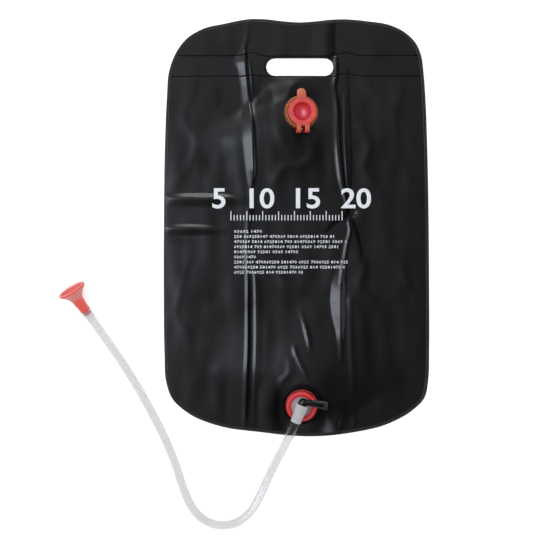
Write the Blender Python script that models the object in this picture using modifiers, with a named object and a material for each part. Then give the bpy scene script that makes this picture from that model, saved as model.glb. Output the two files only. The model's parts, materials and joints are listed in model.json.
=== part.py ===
"""Camp shower bag, drained and laid flat: two welded film sheets with a hand slot, a screw filler with
a hinged cap, a tap held by a ring nut, a hose and a shower head.

Metres, +Z up. The bag lies on the plane z = 0, its middle over the origin, its hand slot towards +Y.
"""

import bmesh
import bpy
import math
from mathutils import Matrix, Vector

# Fits and shared sizes
CLEARANCE = 0.0003
OVERRUN = 0.012
WELD_MERGE = 0.00001
EDGE_CHAMFER = 0.0004
TURN_STEPS = 40
SMALL_TURN_STEPS = 24
SMOOTH_ANGLE = math.radians(35)
HALF_TURN_POINTS = 9

# Bag
BAG_WIDTH = 0.398
BAG_LENGTH = 0.625
FILM = 0.0005
PILLOW_HEIGHT = 0.0029
HEADER_WELD_FROM_TOP = 0.0860
SLOT_LENGTH = 0.101
SLOT_HEIGHT = 0.0262
SLOT_FROM_TOP = 0.0717
SLOT_OFFSET = 0.005
OUTLINE_STEPS = 3
OUTLINE_SHARES = [
    (0.026, 0.984), (0.366, 0.999), (0.540, 0.989), (0.713, 0.969), (0.834, 0.928), (0.906, 0.878),
    (0.944, 0.815), (0.957, 0.748), (0.972, 0.620), (0.985, 0.402), (0.996, 0.057), (1.000, -0.300),
    (1.000, -0.600), (0.995, -0.720), (0.970, -0.808), (0.879, -0.873), (0.751, -0.923),
    (0.404, -0.984), (0.079, -1.000), (-0.260, -0.981), (-0.630, -0.942), (-0.826, -0.885),
    (-0.947, -0.808), (-0.985, -0.730), (-0.994, -0.620), (-1.000, -0.300), (-0.999, 0.057),
    (-0.991, 0.402), (-0.976, 0.632), (-0.961, 0.748), (-0.926, 0.815), (-0.850, 0.892),
    (-0.720, 0.949), (-0.540, 0.978), (-0.366, 0.999),
]

# Folds of the front film: the route of each, and its height and width
FOLD_HEIGHT = 0.0032
FOLD_WIDTH = 0.0075
FOLD_SHARES = [
    ([(-0.350, 1.0), (-0.352, 0.5), (-0.350, 0.0), (-0.345, -0.6), (-0.340, -1.0)], 1.0, 1.0),
    ([(0.366, 1.0), (0.340, 0.72), (0.345, 0.45), (0.373, 0.21), (0.388, 0.09)], 1.0, 1.0),
    ([(0.388, 0.05), (0.373, -0.12), (0.345, -0.45), (0.395, -0.97)], 0.9, 1.3),
    ([(-0.950, 0.16), (-0.700, 0.15), (-0.480, 0.17)], 0.45, 1.6),
    ([(0.090, -0.46), (0.060, -0.62), (0.050, -0.74)], 0.6, 1.5),
]
PINCH_SHARE = (0.388, 0.071)
PINCH_DEPTH = 0.0030
PINCH_WIDTH = 0.014
HEADER_FOLD_SHARE = 0.35
FILM_CELL = 0.026
FOLD_CELL = 0.0088

# Filler: its place, its lean and the direction that it leans to
FILLER_OFFSET = 0.0065
FILLER_FROM_TOP = 0.1405
FILLER_LEAN = math.radians(11)
FILLER_HEADING = math.radians(30)
FILLER_TURN = math.radians(2.5)
FITTING_SEAT_MARGIN = 0.004
FITTING_BLEND = 0.042
FILLER_FLANGE_RADIUS = 0.0245
FILLER_FLANGE = 0.0015
FILLER_NECK_RADIUS = 0.0215
FILLER_NECK_BORE = 0.0190
FILLER_NECK_HEIGHT = 0.0072
FILLER_HOLE_RADIUS = 0.0170
THREAD_DEPTH = 0.0005
THREAD_PITCH = 0.0025
SEAL_THICKNESS = 0.0008
COLLAR_FOOT_RADIUS = 0.0261
COLLAR_TOP_RADIUS = 0.0236
COLLAR_PLATE = 0.0016
COLLAR_RIBS = 72
COLLAR_RIB_DEPTH = 0.0007
CAP_RADIUS = 0.0218
CAP_FLANGE = 0.0016
CAP_INSET = 0.0002
CAP_RECESS_RADIUS = 0.0142
CAP_RECESS_DEPTH = 0.0080
CAP_FLOOR_RADIUS = 0.0120
CAP_WALL = 0.0011
CAP_HOLE_CLEARANCE = 0.0007
TAB_WIDTH = 0.0137
TAB_REACH = 0.0350
HINGE_OFFSET = 0.0290
HINGE_HEIGHT = 0.0053
HINGE_BAR_RADIUS = 0.0012
HINGE_EYE_RADIUS = 0.0025
HINGE_KNUCKLE_RADIUS = 0.0022
HINGE_KNUCKLE_WIDTH = 0.0052
HINGE_LEG_WIDTH = 0.0068
HINGE_LEG_SHOULDER = 0.0040
HINGE_LEG_SET_IN = 0.0015

# Outlet: its place, its lean and the direction that it and the barrel point to
OUTLET_OFFSET = 0.0078
OUTLET_FROM_BOTTOM = 0.0473
OUTLET_LEAN = math.radians(11)
OUTLET_HEADING = math.radians(249)
OUTLET_FLANGE = 0.0016
OUTLET_LIP = 0.0008
OUTLET_LIP_WIDTH = 0.0016
OUTLET_LIP_GAP = 0.00235
OUTLET_NECK_RADIUS = 0.0184
OUTLET_NECK_BORE = 0.0155
OUTLET_NECK_HEIGHT = 0.0064
OUTLET_HOLE_RADIUS = 0.0140
GASKET_THICKNESS = 0.0012
NUT_FOOT_RADIUS = 0.0240
NUT_TOP_RADIUS = 0.0218
NUT_PLATE = 0.0018
NUT_OPENING_RADIUS = 0.0155
NUT_FOOT_BAND = 0.0012
NUT_RIBS = 60
NUT_RIB_DEPTH = 0.0005
OUTLET_FLANGE_RADIUS = NUT_FOOT_RADIUS + OUTLET_LIP_GAP + OUTLET_LIP + OUTLET_LIP_WIDTH
TAP_DISC = 0.0013
TAP_TAIL_LENGTH = 0.0030
TAP_TAIL_BORE = 0.0120
RISER_RADIUS = 0.0060
RISER_FILLET = 0.0010
BARREL_CLEARANCE = 0.0010
BARREL_TOP_RADIUS = 0.0095
BARREL_MOUTH_RADIUS = 0.0080
BARREL_UP = 0.0065
BARREL_DOWN = 0.0220
TAP_BORE = 0.0035
PLUG_RADIUS = 0.0050
PLUG_BORE = 0.0034
PLUG_REACH = 0.0080
PLUG_BORE_DEPTH = 0.0110
PORT_RADIUS = 0.0030
HUB_RADIUS = 0.0072
HUB_LENGTH = 0.0100
HUB_PROFILE_SHARES = [(1.0, 0.0), (1.0, 0.25), (0.93, 0.55), (0.72, 0.80), (0.38, 0.95), (0.0, 1.0)]
ARM_REACH = 0.0370
ARM_ROOT_WIDTH = 0.0084
ARM_TIP_WIDTH = 0.0118
ARM_THICKNESS = 0.0032
ARM_SWEEP = math.radians(13)
ARM_BEVEL = 0.0008

# Hose: it starts straight out of the barrel's mouth and ends straight in line with the head
HOSE_RADIUS = 0.0065
HOSE_POINT_SPACING = 0.0085
HOSE_ROUTE_STEPS = 12
HOSE_STUB = 0.006
HOSE_ROUTE = [
    (-0.0081, -0.3051, 0.0236), (-0.0152, -0.3199, 0.0194), (-0.0226, -0.3346, 0.0152),
    (-0.0301, -0.3492, 0.0116), (-0.0374, -0.3639, 0.0090), (-0.0442, -0.3788, 0.0075),
    (-0.0509, -0.3938, 0.0069), (-0.0669, -0.4225, 0.0067), (-0.0782, -0.4343, 0.0067),
    (-0.0923, -0.4425, 0.0067), (-0.1084, -0.4457, 0.0067), (-0.1246, -0.4437, 0.0067),
    (-0.1393, -0.4366, 0.0067), (-0.1512, -0.4254, 0.0067), (-0.1601, -0.4116, 0.0067),
    (-0.1722, -0.3811, 0.0067), (-0.1827, -0.3500, 0.0067), (-0.1951, -0.3196, 0.0067),
    (-0.2095, -0.2901, 0.0067), (-0.2250, -0.2611, 0.0067), (-0.2413, -0.2326, 0.0067),
    (-0.2588, -0.2048, 0.0067), (-0.2774, -0.1777, 0.0067), (-0.2964, -0.1509, 0.0067),
    (-0.3058, -0.1375, 0.0072),
]

# Shower head: where the hose meets it, and the way its axis points from there
HEAD_PLACE = (-0.3153, -0.1241, 0.0112)
HEAD_HEADING = math.radians(125.4)
HEAD_LEAN = math.radians(16)
HEAD_RIM_RADIUS = 0.0217
HEAD_LENGTH = 0.0395
HEAD_STEM_BORE = 0.0042
HEAD_OUTER_SHARES = [
    (0.960, 1.000), (0.990, 0.985), (1.000, 0.963), (0.990, 0.923), (0.935, 0.884), (0.756, 0.805),
    (0.581, 0.699), (0.459, 0.591), (0.396, 0.475), (0.389, 0.369), (0.332, 0.000),
]
HEAD_FUNNEL_SHARES = [(0.250, 0.48), (0.330, 0.600), (0.500, 0.700), (0.680, 0.800)]
ROSE_RADIUS = 0.0186
ROSE_THICKNESS = 0.0016
ROSE_SET_BACK = 0.0020
ROSE_LEDGE = 0.0013
ROSE_HOLE_RADIUS = 0.0007
ROSE_HOLE_SIDES = 5
ROSE_HOLE_RINGS = 3
ROSE_HOLES_PER_RING = 6
ROSE_HOLE_PITCH = 0.0048

# Heights that follow from the sizes above
FILM_REST = FILM + CLEARANCE + FILM
HALF_WIDTH = BAG_WIDTH / 2
HALF_LENGTH = BAG_LENGTH / 2
SLOT_Y = HALF_LENGTH - SLOT_FROM_TOP
HEADER_WELD_Y = HALF_LENGTH - HEADER_WELD_FROM_TOP
FILLER_Y = HALF_LENGTH - FILLER_FROM_TOP
OUTLET_Y = OUTLET_FROM_BOTTOM - HALF_LENGTH
FILLER_SEAT = FILM_REST + (FILLER_FLANGE_RADIUS + FITTING_SEAT_MARGIN) * math.tan(FILLER_LEAN)
OUTLET_SEAT = FILM_REST + (OUTLET_FLANGE_RADIUS + FITTING_SEAT_MARGIN) * math.tan(OUTLET_LEAN)

FILLER_FLANGE_TOP = CLEARANCE + FILLER_FLANGE
FILLER_NECK_TOP = FILLER_FLANGE_TOP + FILLER_NECK_HEIGHT
COLLAR_FOOT = FILLER_FLANGE_TOP + CLEARANCE
SEAL_FOOT = FILLER_NECK_TOP + CLEARANCE
COLLAR_PLATE_FOOT = SEAL_FOOT + SEAL_THICKNESS + CLEARANCE
COLLAR_TOP = COLLAR_PLATE_FOOT + COLLAR_PLATE
COLLAR_BORE = FILLER_NECK_RADIUS + THREAD_DEPTH + CLEARANCE
CAP_FOOT = COLLAR_TOP + CLEARANCE
CAP_TOP = CAP_FOOT + CAP_FLANGE
PLUG_TOP_RADIUS = CAP_RECESS_RADIUS + CAP_WALL
CAP_HOLE_RADIUS = PLUG_TOP_RADIUS + CAP_HOLE_CLEARANCE

OUTLET_FLANGE_TOP = CLEARANCE + OUTLET_FLANGE
OUTLET_NECK_TOP = OUTLET_FLANGE_TOP + OUTLET_NECK_HEIGHT
GASKET_FOOT = OUTLET_NECK_TOP + CLEARANCE
DISC_FOOT = GASKET_FOOT + GASKET_THICKNESS + CLEARANCE
DISC_TOP = DISC_FOOT + TAP_DISC
NUT_FOOT = OUTLET_FLANGE_TOP + CLEARANCE
NUT_BORE = OUTLET_NECK_RADIUS + THREAD_DEPTH + CLEARANCE
NUT_PLATE_FOOT = DISC_TOP + CLEARANCE
NUT_TOP = NUT_PLATE_FOOT + NUT_PLATE
DISC_RADIUS = NUT_BORE - 2 * CLEARANCE
BARREL_HEIGHT = NUT_TOP + BARREL_CLEARANCE + BARREL_TOP_RADIUS


# Scene, materials and frames

def clear_scene():
    for thing in list(bpy.data.objects):
        bpy.data.objects.remove(thing, do_unlink=True)


def new_collection(name, hidden=False):
    made = bpy.data.collections.new(name)
    made.hide_render = hidden
    bpy.context.scene.collection.children.link(made)
    return made


def new_material(name, color, roughness, metallic=0.0):
    made = bpy.data.materials.new(name)
    made.use_nodes = True
    shader = made.node_tree.nodes["Principled BSDF"]
    shader.inputs["Base Color"].default_value = (*color, 1.0)
    shader.inputs["Roughness"].default_value = roughness
    shader.inputs["Metallic"].default_value = metallic
    return made


clear_scene()
PARTS = new_collection("camp_shower_bag")
CUTTERS = new_collection("cutters", hidden=True)

# Local x to world y, y to z and z to x: an outline drawn flat then stands side on
SIDE_ON = Matrix(((0, 0, 1, 0), (1, 0, 0, 0), (0, 1, 0, 0), (0, 0, 0, 1)))
# Turned shapes whose axis lies along the frame's x, with the top of the profile towards +x, or along its y
ALONG_X = Matrix.Rotation(math.pi / 2, 4, "Y")
ALONG_Y = Matrix.Rotation(math.pi / 2, 4, "X")


def add_frame(name, matrix, parent=None):
    """An empty that carries the pieces of one fitting, or marks a joint's axis."""
    empty = bpy.data.objects.new(name, None)
    empty.parent = parent
    empty.matrix_local = matrix
    PARTS.objects.link(empty)
    return empty


def add_object(name, data, frame=None, place=None, material=None, cutter=False):
    """Links an object, and gives it its frame, its place there and its material."""
    made = bpy.data.objects.new(name, data)
    (CUTTERS if cutter else PARTS).objects.link(made)
    made.parent = frame
    made.matrix_local = place or Matrix.Identity(4)
    if cutter:
        made.hide_render = True
        made.display_type = "WIRE"
    if material:
        data.materials.append(material)
    return made


# Shapes

def boolean(target, other, operation="DIFFERENCE"):
    modifier = target.modifiers.new(operation.lower(), "BOOLEAN")
    modifier.operation = operation
    modifier.solver = "EXACT"
    modifier.object = other


def shade_smooth(thing):
    thing.data.shade_smooth()
    thing.data.set_sharp_from_angle(angle=SMOOTH_ANGLE)


def turned(name, profile, frame=None, place=None, material=None, cutter=False, ring=False,
           steps=TURN_STEPS):
    """A turned solid from a profile of (radius, height) that runs down its outer side."""
    mesh = bpy.data.meshes.new(name)
    last = len(profile) - 1
    edges = [(i, i + 1) for i in range(last)]
    if ring:
        edges.append((last, 0))
    mesh.from_pydata([(radius, 0, height) for radius, height in profile], edges, [])
    made = add_object(name, mesh, frame, place, material, cutter)
    screw = made.modifiers.new("turn", "SCREW")
    screw.steps = steps
    screw.render_steps = steps
    screw.use_merge_vertices = True
    screw.merge_threshold = WELD_MERGE
    screw.use_smooth_shade = True
    return made


def mesh_of(curve_object):
    """Makes a mesh of a curve object, with its caps welded, in place of the curve."""
    bpy.context.view_layer.update()
    evaluated = curve_object.evaluated_get(bpy.context.evaluated_depsgraph_get())
    mesh = bpy.data.meshes.new_from_object(evaluated)
    shape = bmesh.new()
    shape.from_mesh(mesh)
    bmesh.ops.remove_doubles(shape, verts=shape.verts, dist=WELD_MERGE)
    shape.to_mesh(mesh)
    shape.free()
    mesh.materials.clear()
    bpy.data.objects.remove(curve_object, do_unlink=True)
    return mesh


def plate(name, outline, low, high, frame=None, place=None, material=None, cutter=False):
    """A flat outline of (x, y) points, extruded from height low to height high."""
    curve = bpy.data.curves.new(name, "CURVE")
    curve.dimensions = "2D"
    curve.fill_mode = "BOTH"
    curve.extrude = (high - low) / 2
    spline = curve.splines.new("POLY")
    spline.points.add(len(outline) - 1)
    for point, (x, y) in zip(spline.points, outline):
        point.co = (x, y, 0, 1)
    spline.use_cyclic_u = True
    flat = bpy.data.objects.new(name + "_outline", curve)
    PARTS.objects.link(flat)
    mesh = mesh_of(flat)
    mesh.transform(Matrix.Translation((0, 0, (high + low) / 2)))
    return add_object(name, mesh, frame, place, material, cutter)


def cylinder(name, radius, low, high, frame=None, place=None, cutter=True, steps=TURN_STEPS):
    """A plain cylinder along the local z, from height low to height high."""
    mesh = bpy.data.meshes.new(name)
    shape = bmesh.new()
    bmesh.ops.create_cone(shape, cap_ends=True, segments=steps, radius1=radius, radius2=radius,
                          depth=high - low, matrix=Matrix.Translation((0, 0, (high + low) / 2)))
    shape.to_mesh(mesh)
    shape.free()
    return add_object(name, mesh, frame, place, cutter=cutter)


def ribbed(name, ribs, rib_depth, foot_radius, top_radius, low, high, frame, material):
    """A cone whose foot is cut into ribs that run out at its top."""
    mesh = bpy.data.meshes.new(name)
    shape = bmesh.new()
    bmesh.ops.create_cone(shape, cap_ends=True, segments=2 * ribs, radius1=foot_radius,
                          radius2=top_radius, depth=high - low,
                          matrix=Matrix.Translation((0, 0, (high + low) / 2)))
    middle = (high + low) / 2
    turn = math.pi / ribs
    for vertex in shape.verts:
        step = round(math.atan2(vertex.co.y, vertex.co.x) / turn)
        if vertex.co.z < middle and step % 2:
            share = 1 - rib_depth / foot_radius
            vertex.co.x *= share
            vertex.co.y *= share
    shape.to_mesh(mesh)
    shape.free()
    return add_object(name, mesh, frame, material=material)


def arc(center, radius, start, end, count):
    """Points along an arc, angles in radians."""
    points = []
    for i in range(count):
        angle = start + (end - start) * i / (count - 1)
        points.append((center[0] + radius * math.cos(angle), center[1] + radius * math.sin(angle)))
    return points


def smooth_step(value):
    value = min(1, max(0, value))
    return value * value * (3 - 2 * value)


def tangent(before, here, after):
    """Direction of a smooth curve at a point, which the nearer of its neighbours sets more."""
    back = (here - before).length
    ahead = (after - here).length
    return ((here - before) / back * ahead + (after - here) / ahead * back) / (back + ahead)


def smooth_line(points, steps, closed=False):
    """Points on a smooth curve through the given ones."""
    count = len(points)
    if closed:
        padded = [points[-1]] + list(points) + [points[0], points[1]]
        spans = count
    else:
        before = Vector(points[0]) * 2 - Vector(points[1])
        after = Vector(points[-1]) * 2 - Vector(points[-2])
        padded = [before] + list(points) + [after]
        spans = count - 1
    made = []
    for i in range(spans):
        before, start, end, after = (Vector(padded[i + k]) for k in range(4))
        leave = tangent(before, start, end) * (end - start).length
        arrive = tangent(start, end, after) * (end - start).length
        for step in range(steps):
            t = step / steps
            bend = smooth_step(t)
            made.append(start * (1 - bend) + end * bend
                        + leave * t * (1 - t) * (1 - t) - arrive * t * t * (1 - t))
    if not closed:
        made.append(Vector(points[-1]))
    return made


# Frames of the fittings

def leaning(x, y, height, heading, lean, turn):
    """A fitting's frame: its z leans towards the heading, and the whole is turned about that z."""
    return (Matrix.Translation((x, y, height)) @ Matrix.Rotation(heading, 4, "Z")
            @ Matrix.Rotation(lean, 4, "Y") @ Matrix.Rotation(turn, 4, "Z"))


FILLER_MATRIX = leaning(FILLER_OFFSET, FILLER_Y, FILLER_SEAT, FILLER_HEADING, FILLER_LEAN,
                        FILLER_TURN - FILLER_HEADING)
OUTLET_MATRIX = leaning(OUTLET_OFFSET, OUTLET_Y, OUTLET_SEAT, OUTLET_HEADING, OUTLET_LEAN, 0)
FILLER = add_frame("filler_frame", FILLER_MATRIX)
FILLER_HINGE = add_frame("filler_hinge", Matrix.Translation((0, -HINGE_OFFSET, HINGE_HEIGHT)), FILLER)
OUTLET = add_frame("outlet_frame", OUTLET_MATRIX)
TAP_AXIS = add_frame("tap_axis", Matrix.Translation((0, 0, BARREL_HEIGHT)), OUTLET)

# Colours
BLACK_FILM = new_material("black_film", (0.016, 0.016, 0.017), 0.30)
BLACK_MOULDED = new_material("black_moulded", (0.012, 0.012, 0.012), 0.35)
AMBER_PLASTIC = new_material("amber_plastic", (0.42, 0.16, 0.05), 0.25)
CORAL_PLASTIC = new_material("coral_plastic", (0.72, 0.10, 0.08), 0.25)
RED_PLASTIC = new_material("red_plastic", (0.70, 0.03, 0.04), 0.28)
MILKY_PLASTIC = new_material("milky_plastic", (0.55, 0.55, 0.56), 0.35)
WHITE_RUBBER = new_material("white_rubber", (0.60, 0.60, 0.58), 0.60)
CLEAR_HOSE = new_material("clear_hose", (0.62, 0.62, 0.62), 0.20)


# Bag

def bag_outline():
    """The outline of the film, drawn smoothly and stretched to the bag's width and length."""
    drawn = smooth_line(OUTLINE_SHARES, OUTLINE_STEPS, closed=True)
    low_x, high_x = min(p.x for p in drawn), max(p.x for p in drawn)
    low_y, high_y = min(p.y for p in drawn), max(p.y for p in drawn)
    return [((2 * (p.x - low_x) / (high_x - low_x) - 1) * HALF_WIDTH,
             (2 * (p.y - low_y) / (high_y - low_y) - 1) * HALF_LENGTH) for p in drawn]


def slot_outline():
    """A slot with round ends."""
    radius = SLOT_HEIGHT / 2
    reach = SLOT_LENGTH / 2 - radius
    quarter = math.pi / 2
    right = arc((SLOT_OFFSET + reach, SLOT_Y), radius, -quarter, quarter, HALF_TURN_POINTS)
    left = arc((SLOT_OFFSET - reach, SLOT_Y), radius, quarter, 3 * quarter, HALF_TURN_POINTS)
    return right + left


def distance_to_line(x, y, line):
    """How far a point lies from a line of points."""
    best = BAG_LENGTH
    here = Vector((x, y))
    for start, end in zip(line, line[1:]):
        run = end - start
        along = min(1, max(0, (here - start).dot(run) / run.length_squared))
        best = min(best, (here - start - run * along).length)
    return best


FOLD_LINES = [
    ([Vector((sx * HALF_WIDTH, sy * HALF_LENGTH)) for sx, sy in route], height_share, width_share)
    for route, height_share, width_share in FOLD_SHARES
]


def plane_height(matrix, x, y):
    """Height at (x, y) of the plane z = 0 of a fitting's frame."""
    normal = matrix.to_3x3() @ Vector((0, 0, 1))
    place = matrix.translation
    return place.z - (normal.x * (x - place.x) + normal.y * (y - place.y)) / normal.z


def film_height(x, y):
    """Height of the front film's outer face over the floor."""
    share_x = x / HALF_WIDTH
    share_y = y / HALF_LENGTH
    inside = max(0, 1 - share_x ** 4 - share_y ** 4 + (share_x * share_y) ** 4)
    below_weld = smooth_step((HEADER_WELD_Y - y) / FITTING_BLEND)
    height = FILM_REST + PILLOW_HEIGHT * inside * below_weld
    fold_part = math.sqrt(inside) * (HEADER_FOLD_SHARE + (1 - HEADER_FOLD_SHARE) * below_weld)
    for line, height_share, width_share in FOLD_LINES:
        off = distance_to_line(x, y, line) / (FOLD_WIDTH * width_share)
        height += FOLD_HEIGHT * height_share * fold_part * math.exp(-off * off)
    pinch = math.hypot(x - PINCH_SHARE[0] * HALF_WIDTH, y - PINCH_SHARE[1] * HALF_LENGTH)
    height -= PINCH_DEPTH * math.exp(-(pinch / PINCH_WIDTH) ** 2)
    for matrix, radius in ((FILLER_MATRIX, FILLER_FLANGE_RADIUS), (OUTLET_MATRIX, OUTLET_FLANGE_RADIUS)):
        place = matrix.translation
        reach = math.hypot(x - place.x, y - place.y) - radius - FITTING_SEAT_MARGIN
        seat = smooth_step(1 - reach / FITTING_BLEND)
        height += (max(FILM_REST, plane_height(matrix, x, y)) - height) * seat
    return max(height, FILM_REST)


def spaced(low, high, cell, fine_spans, fine_cell):
    """Grid lines from low to high, about a cell apart, and closer in the fine spans."""
    lines = [low]
    while lines[-1] < high:
        here = lines[-1]
        fine = any(start <= here <= end for start, end in fine_spans)
        starts = [start for start, end in fine_spans if here < start]
        following = here + (fine_cell if fine else cell)
        if not fine and starts:
            following = min(following, min(starts))
        lines.append(following)
    lines[-1] = high
    return lines


def add_panels():
    outline = bag_outline()
    back = plate("back_panel", outline, 0, FILM, material=BLACK_FILM)
    slot = plate("slot_cutter", slot_outline(), -OVERRUN, OVERRUN, cutter=True)
    boolean(back, slot)

    seat = max(FILLER_FLANGE_RADIUS, OUTLET_FLANGE_RADIUS) + FITTING_SEAT_MARGIN
    left_fold = FOLD_SHARES[0][0][0][0] * HALF_WIDTH
    right_fold = PINCH_SHARE[0] * HALF_WIDTH
    columns = spaced(-HALF_WIDTH - FOLD_CELL, HALF_WIDTH + FOLD_CELL, FILM_CELL,
                     [(left_fold - 1.5 * FOLD_CELL, left_fold + 1.5 * FOLD_CELL),
                      (OUTLET_OFFSET - seat, OUTLET_OFFSET + seat),
                      (right_fold - 3 * FOLD_CELL, right_fold + 2 * FOLD_CELL)], FOLD_CELL)
    rows = spaced(-HALF_LENGTH - FOLD_CELL, HALF_LENGTH + FOLD_CELL, FILM_CELL,
                  [(OUTLET_Y - seat, OUTLET_Y + seat), (FILLER_Y - seat, FILLER_Y + seat)], FOLD_CELL)
    mesh = bpy.data.meshes.new("front_panel")
    shape = bmesh.new()
    across = len(columns) - 1
    along = len(rows) - 1
    bmesh.ops.create_grid(shape, x_segments=across, y_segments=along, size=1)
    for vertex in shape.verts:
        x = columns[round((vertex.co.x + 1) / 2 * across)]
        y = rows[round((vertex.co.y + 1) / 2 * along)]
        vertex.co = (x, y, film_height(x, y))
    shape.to_mesh(mesh)
    shape.free()
    front = add_object("front_panel", mesh, material=BLACK_FILM)
    thick = front.modifiers.new("film", "SOLIDIFY")
    thick.thickness = FILM
    thick.offset = -1
    sheet = plate("sheet_cutter", outline, -OVERRUN, 2 * OVERRUN, cutter=True)
    boolean(front, sheet, "INTERSECT")
    boolean(front, slot)
    boolean(front, cylinder("filler_hole_cutter", FILLER_HOLE_RADIUS, -OVERRUN, OVERRUN, FILLER))
    boolean(front, cylinder("outlet_hole_cutter", OUTLET_HOLE_RADIUS, -OVERRUN, OVERRUN, OUTLET))
    shade_smooth(front)


# Filler

def threaded_side(radius, top, bottom, depth):
    """The outer side of a threaded neck, from its top down, with a crest at each pitch."""
    side = [(radius - depth, top)]
    height = top - THREAD_PITCH / 2
    while height - THREAD_PITCH / 2 > bottom:
        side.append((radius - depth, height + THREAD_PITCH / 4))
        side.append((radius, height))
        side.append((radius - depth, height - THREAD_PITCH / 4))
        height -= THREAD_PITCH
    return side


def flanged_neck(name, frame, material, flange_radius, flange_top, neck_radius, neck_top, bore, lip=0):
    """A weld flange with a threaded neck round an open bore; lip raises the flange's rim."""
    crest = neck_radius + THREAD_DEPTH
    side = threaded_side(crest, neck_top, flange_top, THREAD_DEPTH)
    flange = [(neck_radius, flange_top)]
    if lip:
        inner = flange_radius - OUTLET_LIP_WIDTH
        flange += [(inner - lip, flange_top), (inner, flange_top + lip),
                   (flange_radius - EDGE_CHAMFER, flange_top + lip)]
    else:
        flange += [(flange_radius - EDGE_CHAMFER, flange_top)]
    flange += [(flange_radius, flange_top + lip - EDGE_CHAMFER), (flange_radius, CLEARANCE)]
    profile = side + flange + [(bore, CLEARANCE), (bore, neck_top)]
    return turned(name, profile, frame, material=material, ring=True)


def washer(name, frame, outer, bore, low, thickness, material):
    high = low + thickness
    profile = [(outer, high), (outer, low), (bore, low), (bore, high)]
    return turned(name, profile, frame, material=material, ring=True)


def leg_outline(root_x, low, top):
    """Side outline of a hinge leg: an eye round the bar, a sloped shoulder, and an arm to the cap."""
    eye = arc((-HINGE_OFFSET, HINGE_HEIGHT), HINGE_EYE_RADIUS, math.pi, 2 * math.pi, HALF_TURN_POINTS)
    back = -HINGE_OFFSET - HINGE_EYE_RADIUS
    front = HINGE_EYE_RADIUS - HINGE_OFFSET
    return eye + [(front, low), (root_x, low), (root_x, top), (HINGE_LEG_SET_IN - HINGE_OFFSET, top),
                  (back, HINGE_HEIGHT + HINGE_LEG_SHOULDER)]


def add_filler():
    flanged_neck("filler_base", FILLER, BLACK_MOULDED, FILLER_FLANGE_RADIUS, FILLER_FLANGE_TOP,
                 FILLER_NECK_RADIUS, FILLER_NECK_TOP, FILLER_NECK_BORE)
    washer("filler_seal", FILLER, FILLER_NECK_RADIUS, FILLER_NECK_BORE, SEAL_FOOT, SEAL_THICKNESS,
           WHITE_RUBBER)

    collar = ribbed("filler_collar", COLLAR_RIBS, COLLAR_RIB_DEPTH, COLLAR_FOOT_RADIUS,
                    COLLAR_TOP_RADIUS, COLLAR_FOOT, COLLAR_TOP, FILLER, AMBER_PLASTIC)
    bore = turned("collar_bore_cutter", [
        (0, COLLAR_TOP + OVERRUN), (CAP_HOLE_RADIUS, COLLAR_TOP + OVERRUN),
        (CAP_HOLE_RADIUS, COLLAR_PLATE_FOOT), (COLLAR_BORE, COLLAR_PLATE_FOOT),
        (COLLAR_BORE, COLLAR_FOOT - OVERRUN), (0, COLLAR_FOOT - OVERRUN)], FILLER, cutter=True)
    root = -(COLLAR_BORE + COLLAR_FOOT_RADIUS) / 2
    knuckle_top = HINGE_HEIGHT + HINGE_KNUCKLE_RADIUS
    knuckle_foot = HINGE_HEIGHT - HINGE_KNUCKLE_RADIUS
    knuckle_outline = (arc((-HINGE_OFFSET, HINGE_HEIGHT), HINGE_KNUCKLE_RADIUS, math.pi / 2,
                           3 * math.pi / 2, HALF_TURN_POINTS)
                       + [(root, knuckle_foot), (root, knuckle_top)])
    knuckle = plate("knuckle_joiner", knuckle_outline, -HINGE_KNUCKLE_WIDTH / 2,
                    HINGE_KNUCKLE_WIDTH / 2, FILLER, SIDE_ON, cutter=True)
    bar_half = HINGE_KNUCKLE_WIDTH / 2 + CLEARANCE + HINGE_LEG_WIDTH
    bar_place = Matrix.Translation((0, -HINGE_OFFSET, HINGE_HEIGHT)) @ ALONG_X
    bar = cylinder("hinge_bar_joiner", HINGE_BAR_RADIUS, -bar_half, bar_half, FILLER, bar_place,
                   steps=SMALL_TURN_STEPS)
    boolean(collar, bore)
    boolean(collar, knuckle, "UNION")
    boolean(collar, bar, "UNION")

    recess_floor = CAP_TOP - CAP_RECESS_DEPTH
    cap = turned("filler_cap", [
        (0, recess_floor), (CAP_FLOOR_RADIUS, recess_floor), (CAP_RECESS_RADIUS, CAP_TOP),
        (CAP_RADIUS - EDGE_CHAMFER, CAP_TOP), (CAP_RADIUS, CAP_TOP - EDGE_CHAMFER),
        (CAP_RADIUS, CAP_FOOT), (PLUG_TOP_RADIUS, CAP_FOOT),
        (CAP_FLOOR_RADIUS + CAP_WALL, recess_floor - CAP_WALL), (0, recess_floor - CAP_WALL)],
        FILLER_HINGE, Matrix.Translation((0, HINGE_OFFSET, -HINGE_HEIGHT)), CORAL_PLASTIC)
    low = CAP_FOOT + CAP_INSET
    high = CAP_TOP - CAP_INSET
    half = TAB_WIDTH / 2
    inner = (CAP_RECESS_RADIUS + CAP_RADIUS) / 2
    tab = plate("tab_joiner", [(-half, inner), (half, inner)]
                + arc((0, TAB_REACH - half), half, 0, math.pi, HALF_TURN_POINTS),
                low, high, FILLER, cutter=True)
    boolean(cap, tab, "UNION")
    outline = leg_outline(-inner, low, high)
    near = HINGE_KNUCKLE_WIDTH / 2 + CLEARANCE
    for side, start in (("left", -near - HINGE_LEG_WIDTH), ("right", near)):
        leg = plate(side + "_leg_joiner", outline, start, start + HINGE_LEG_WIDTH, FILLER, SIDE_ON,
                    cutter=True)
        boolean(cap, leg, "UNION")
    eyes = cylinder("hinge_eye_cutter", HINGE_BAR_RADIUS + CLEARANCE, -bar_half - OVERRUN,
                    bar_half + OVERRUN, FILLER, bar_place, steps=SMALL_TURN_STEPS)
    boolean(cap, eyes)
    shade_smooth(collar)


# Outlet and tap

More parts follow.
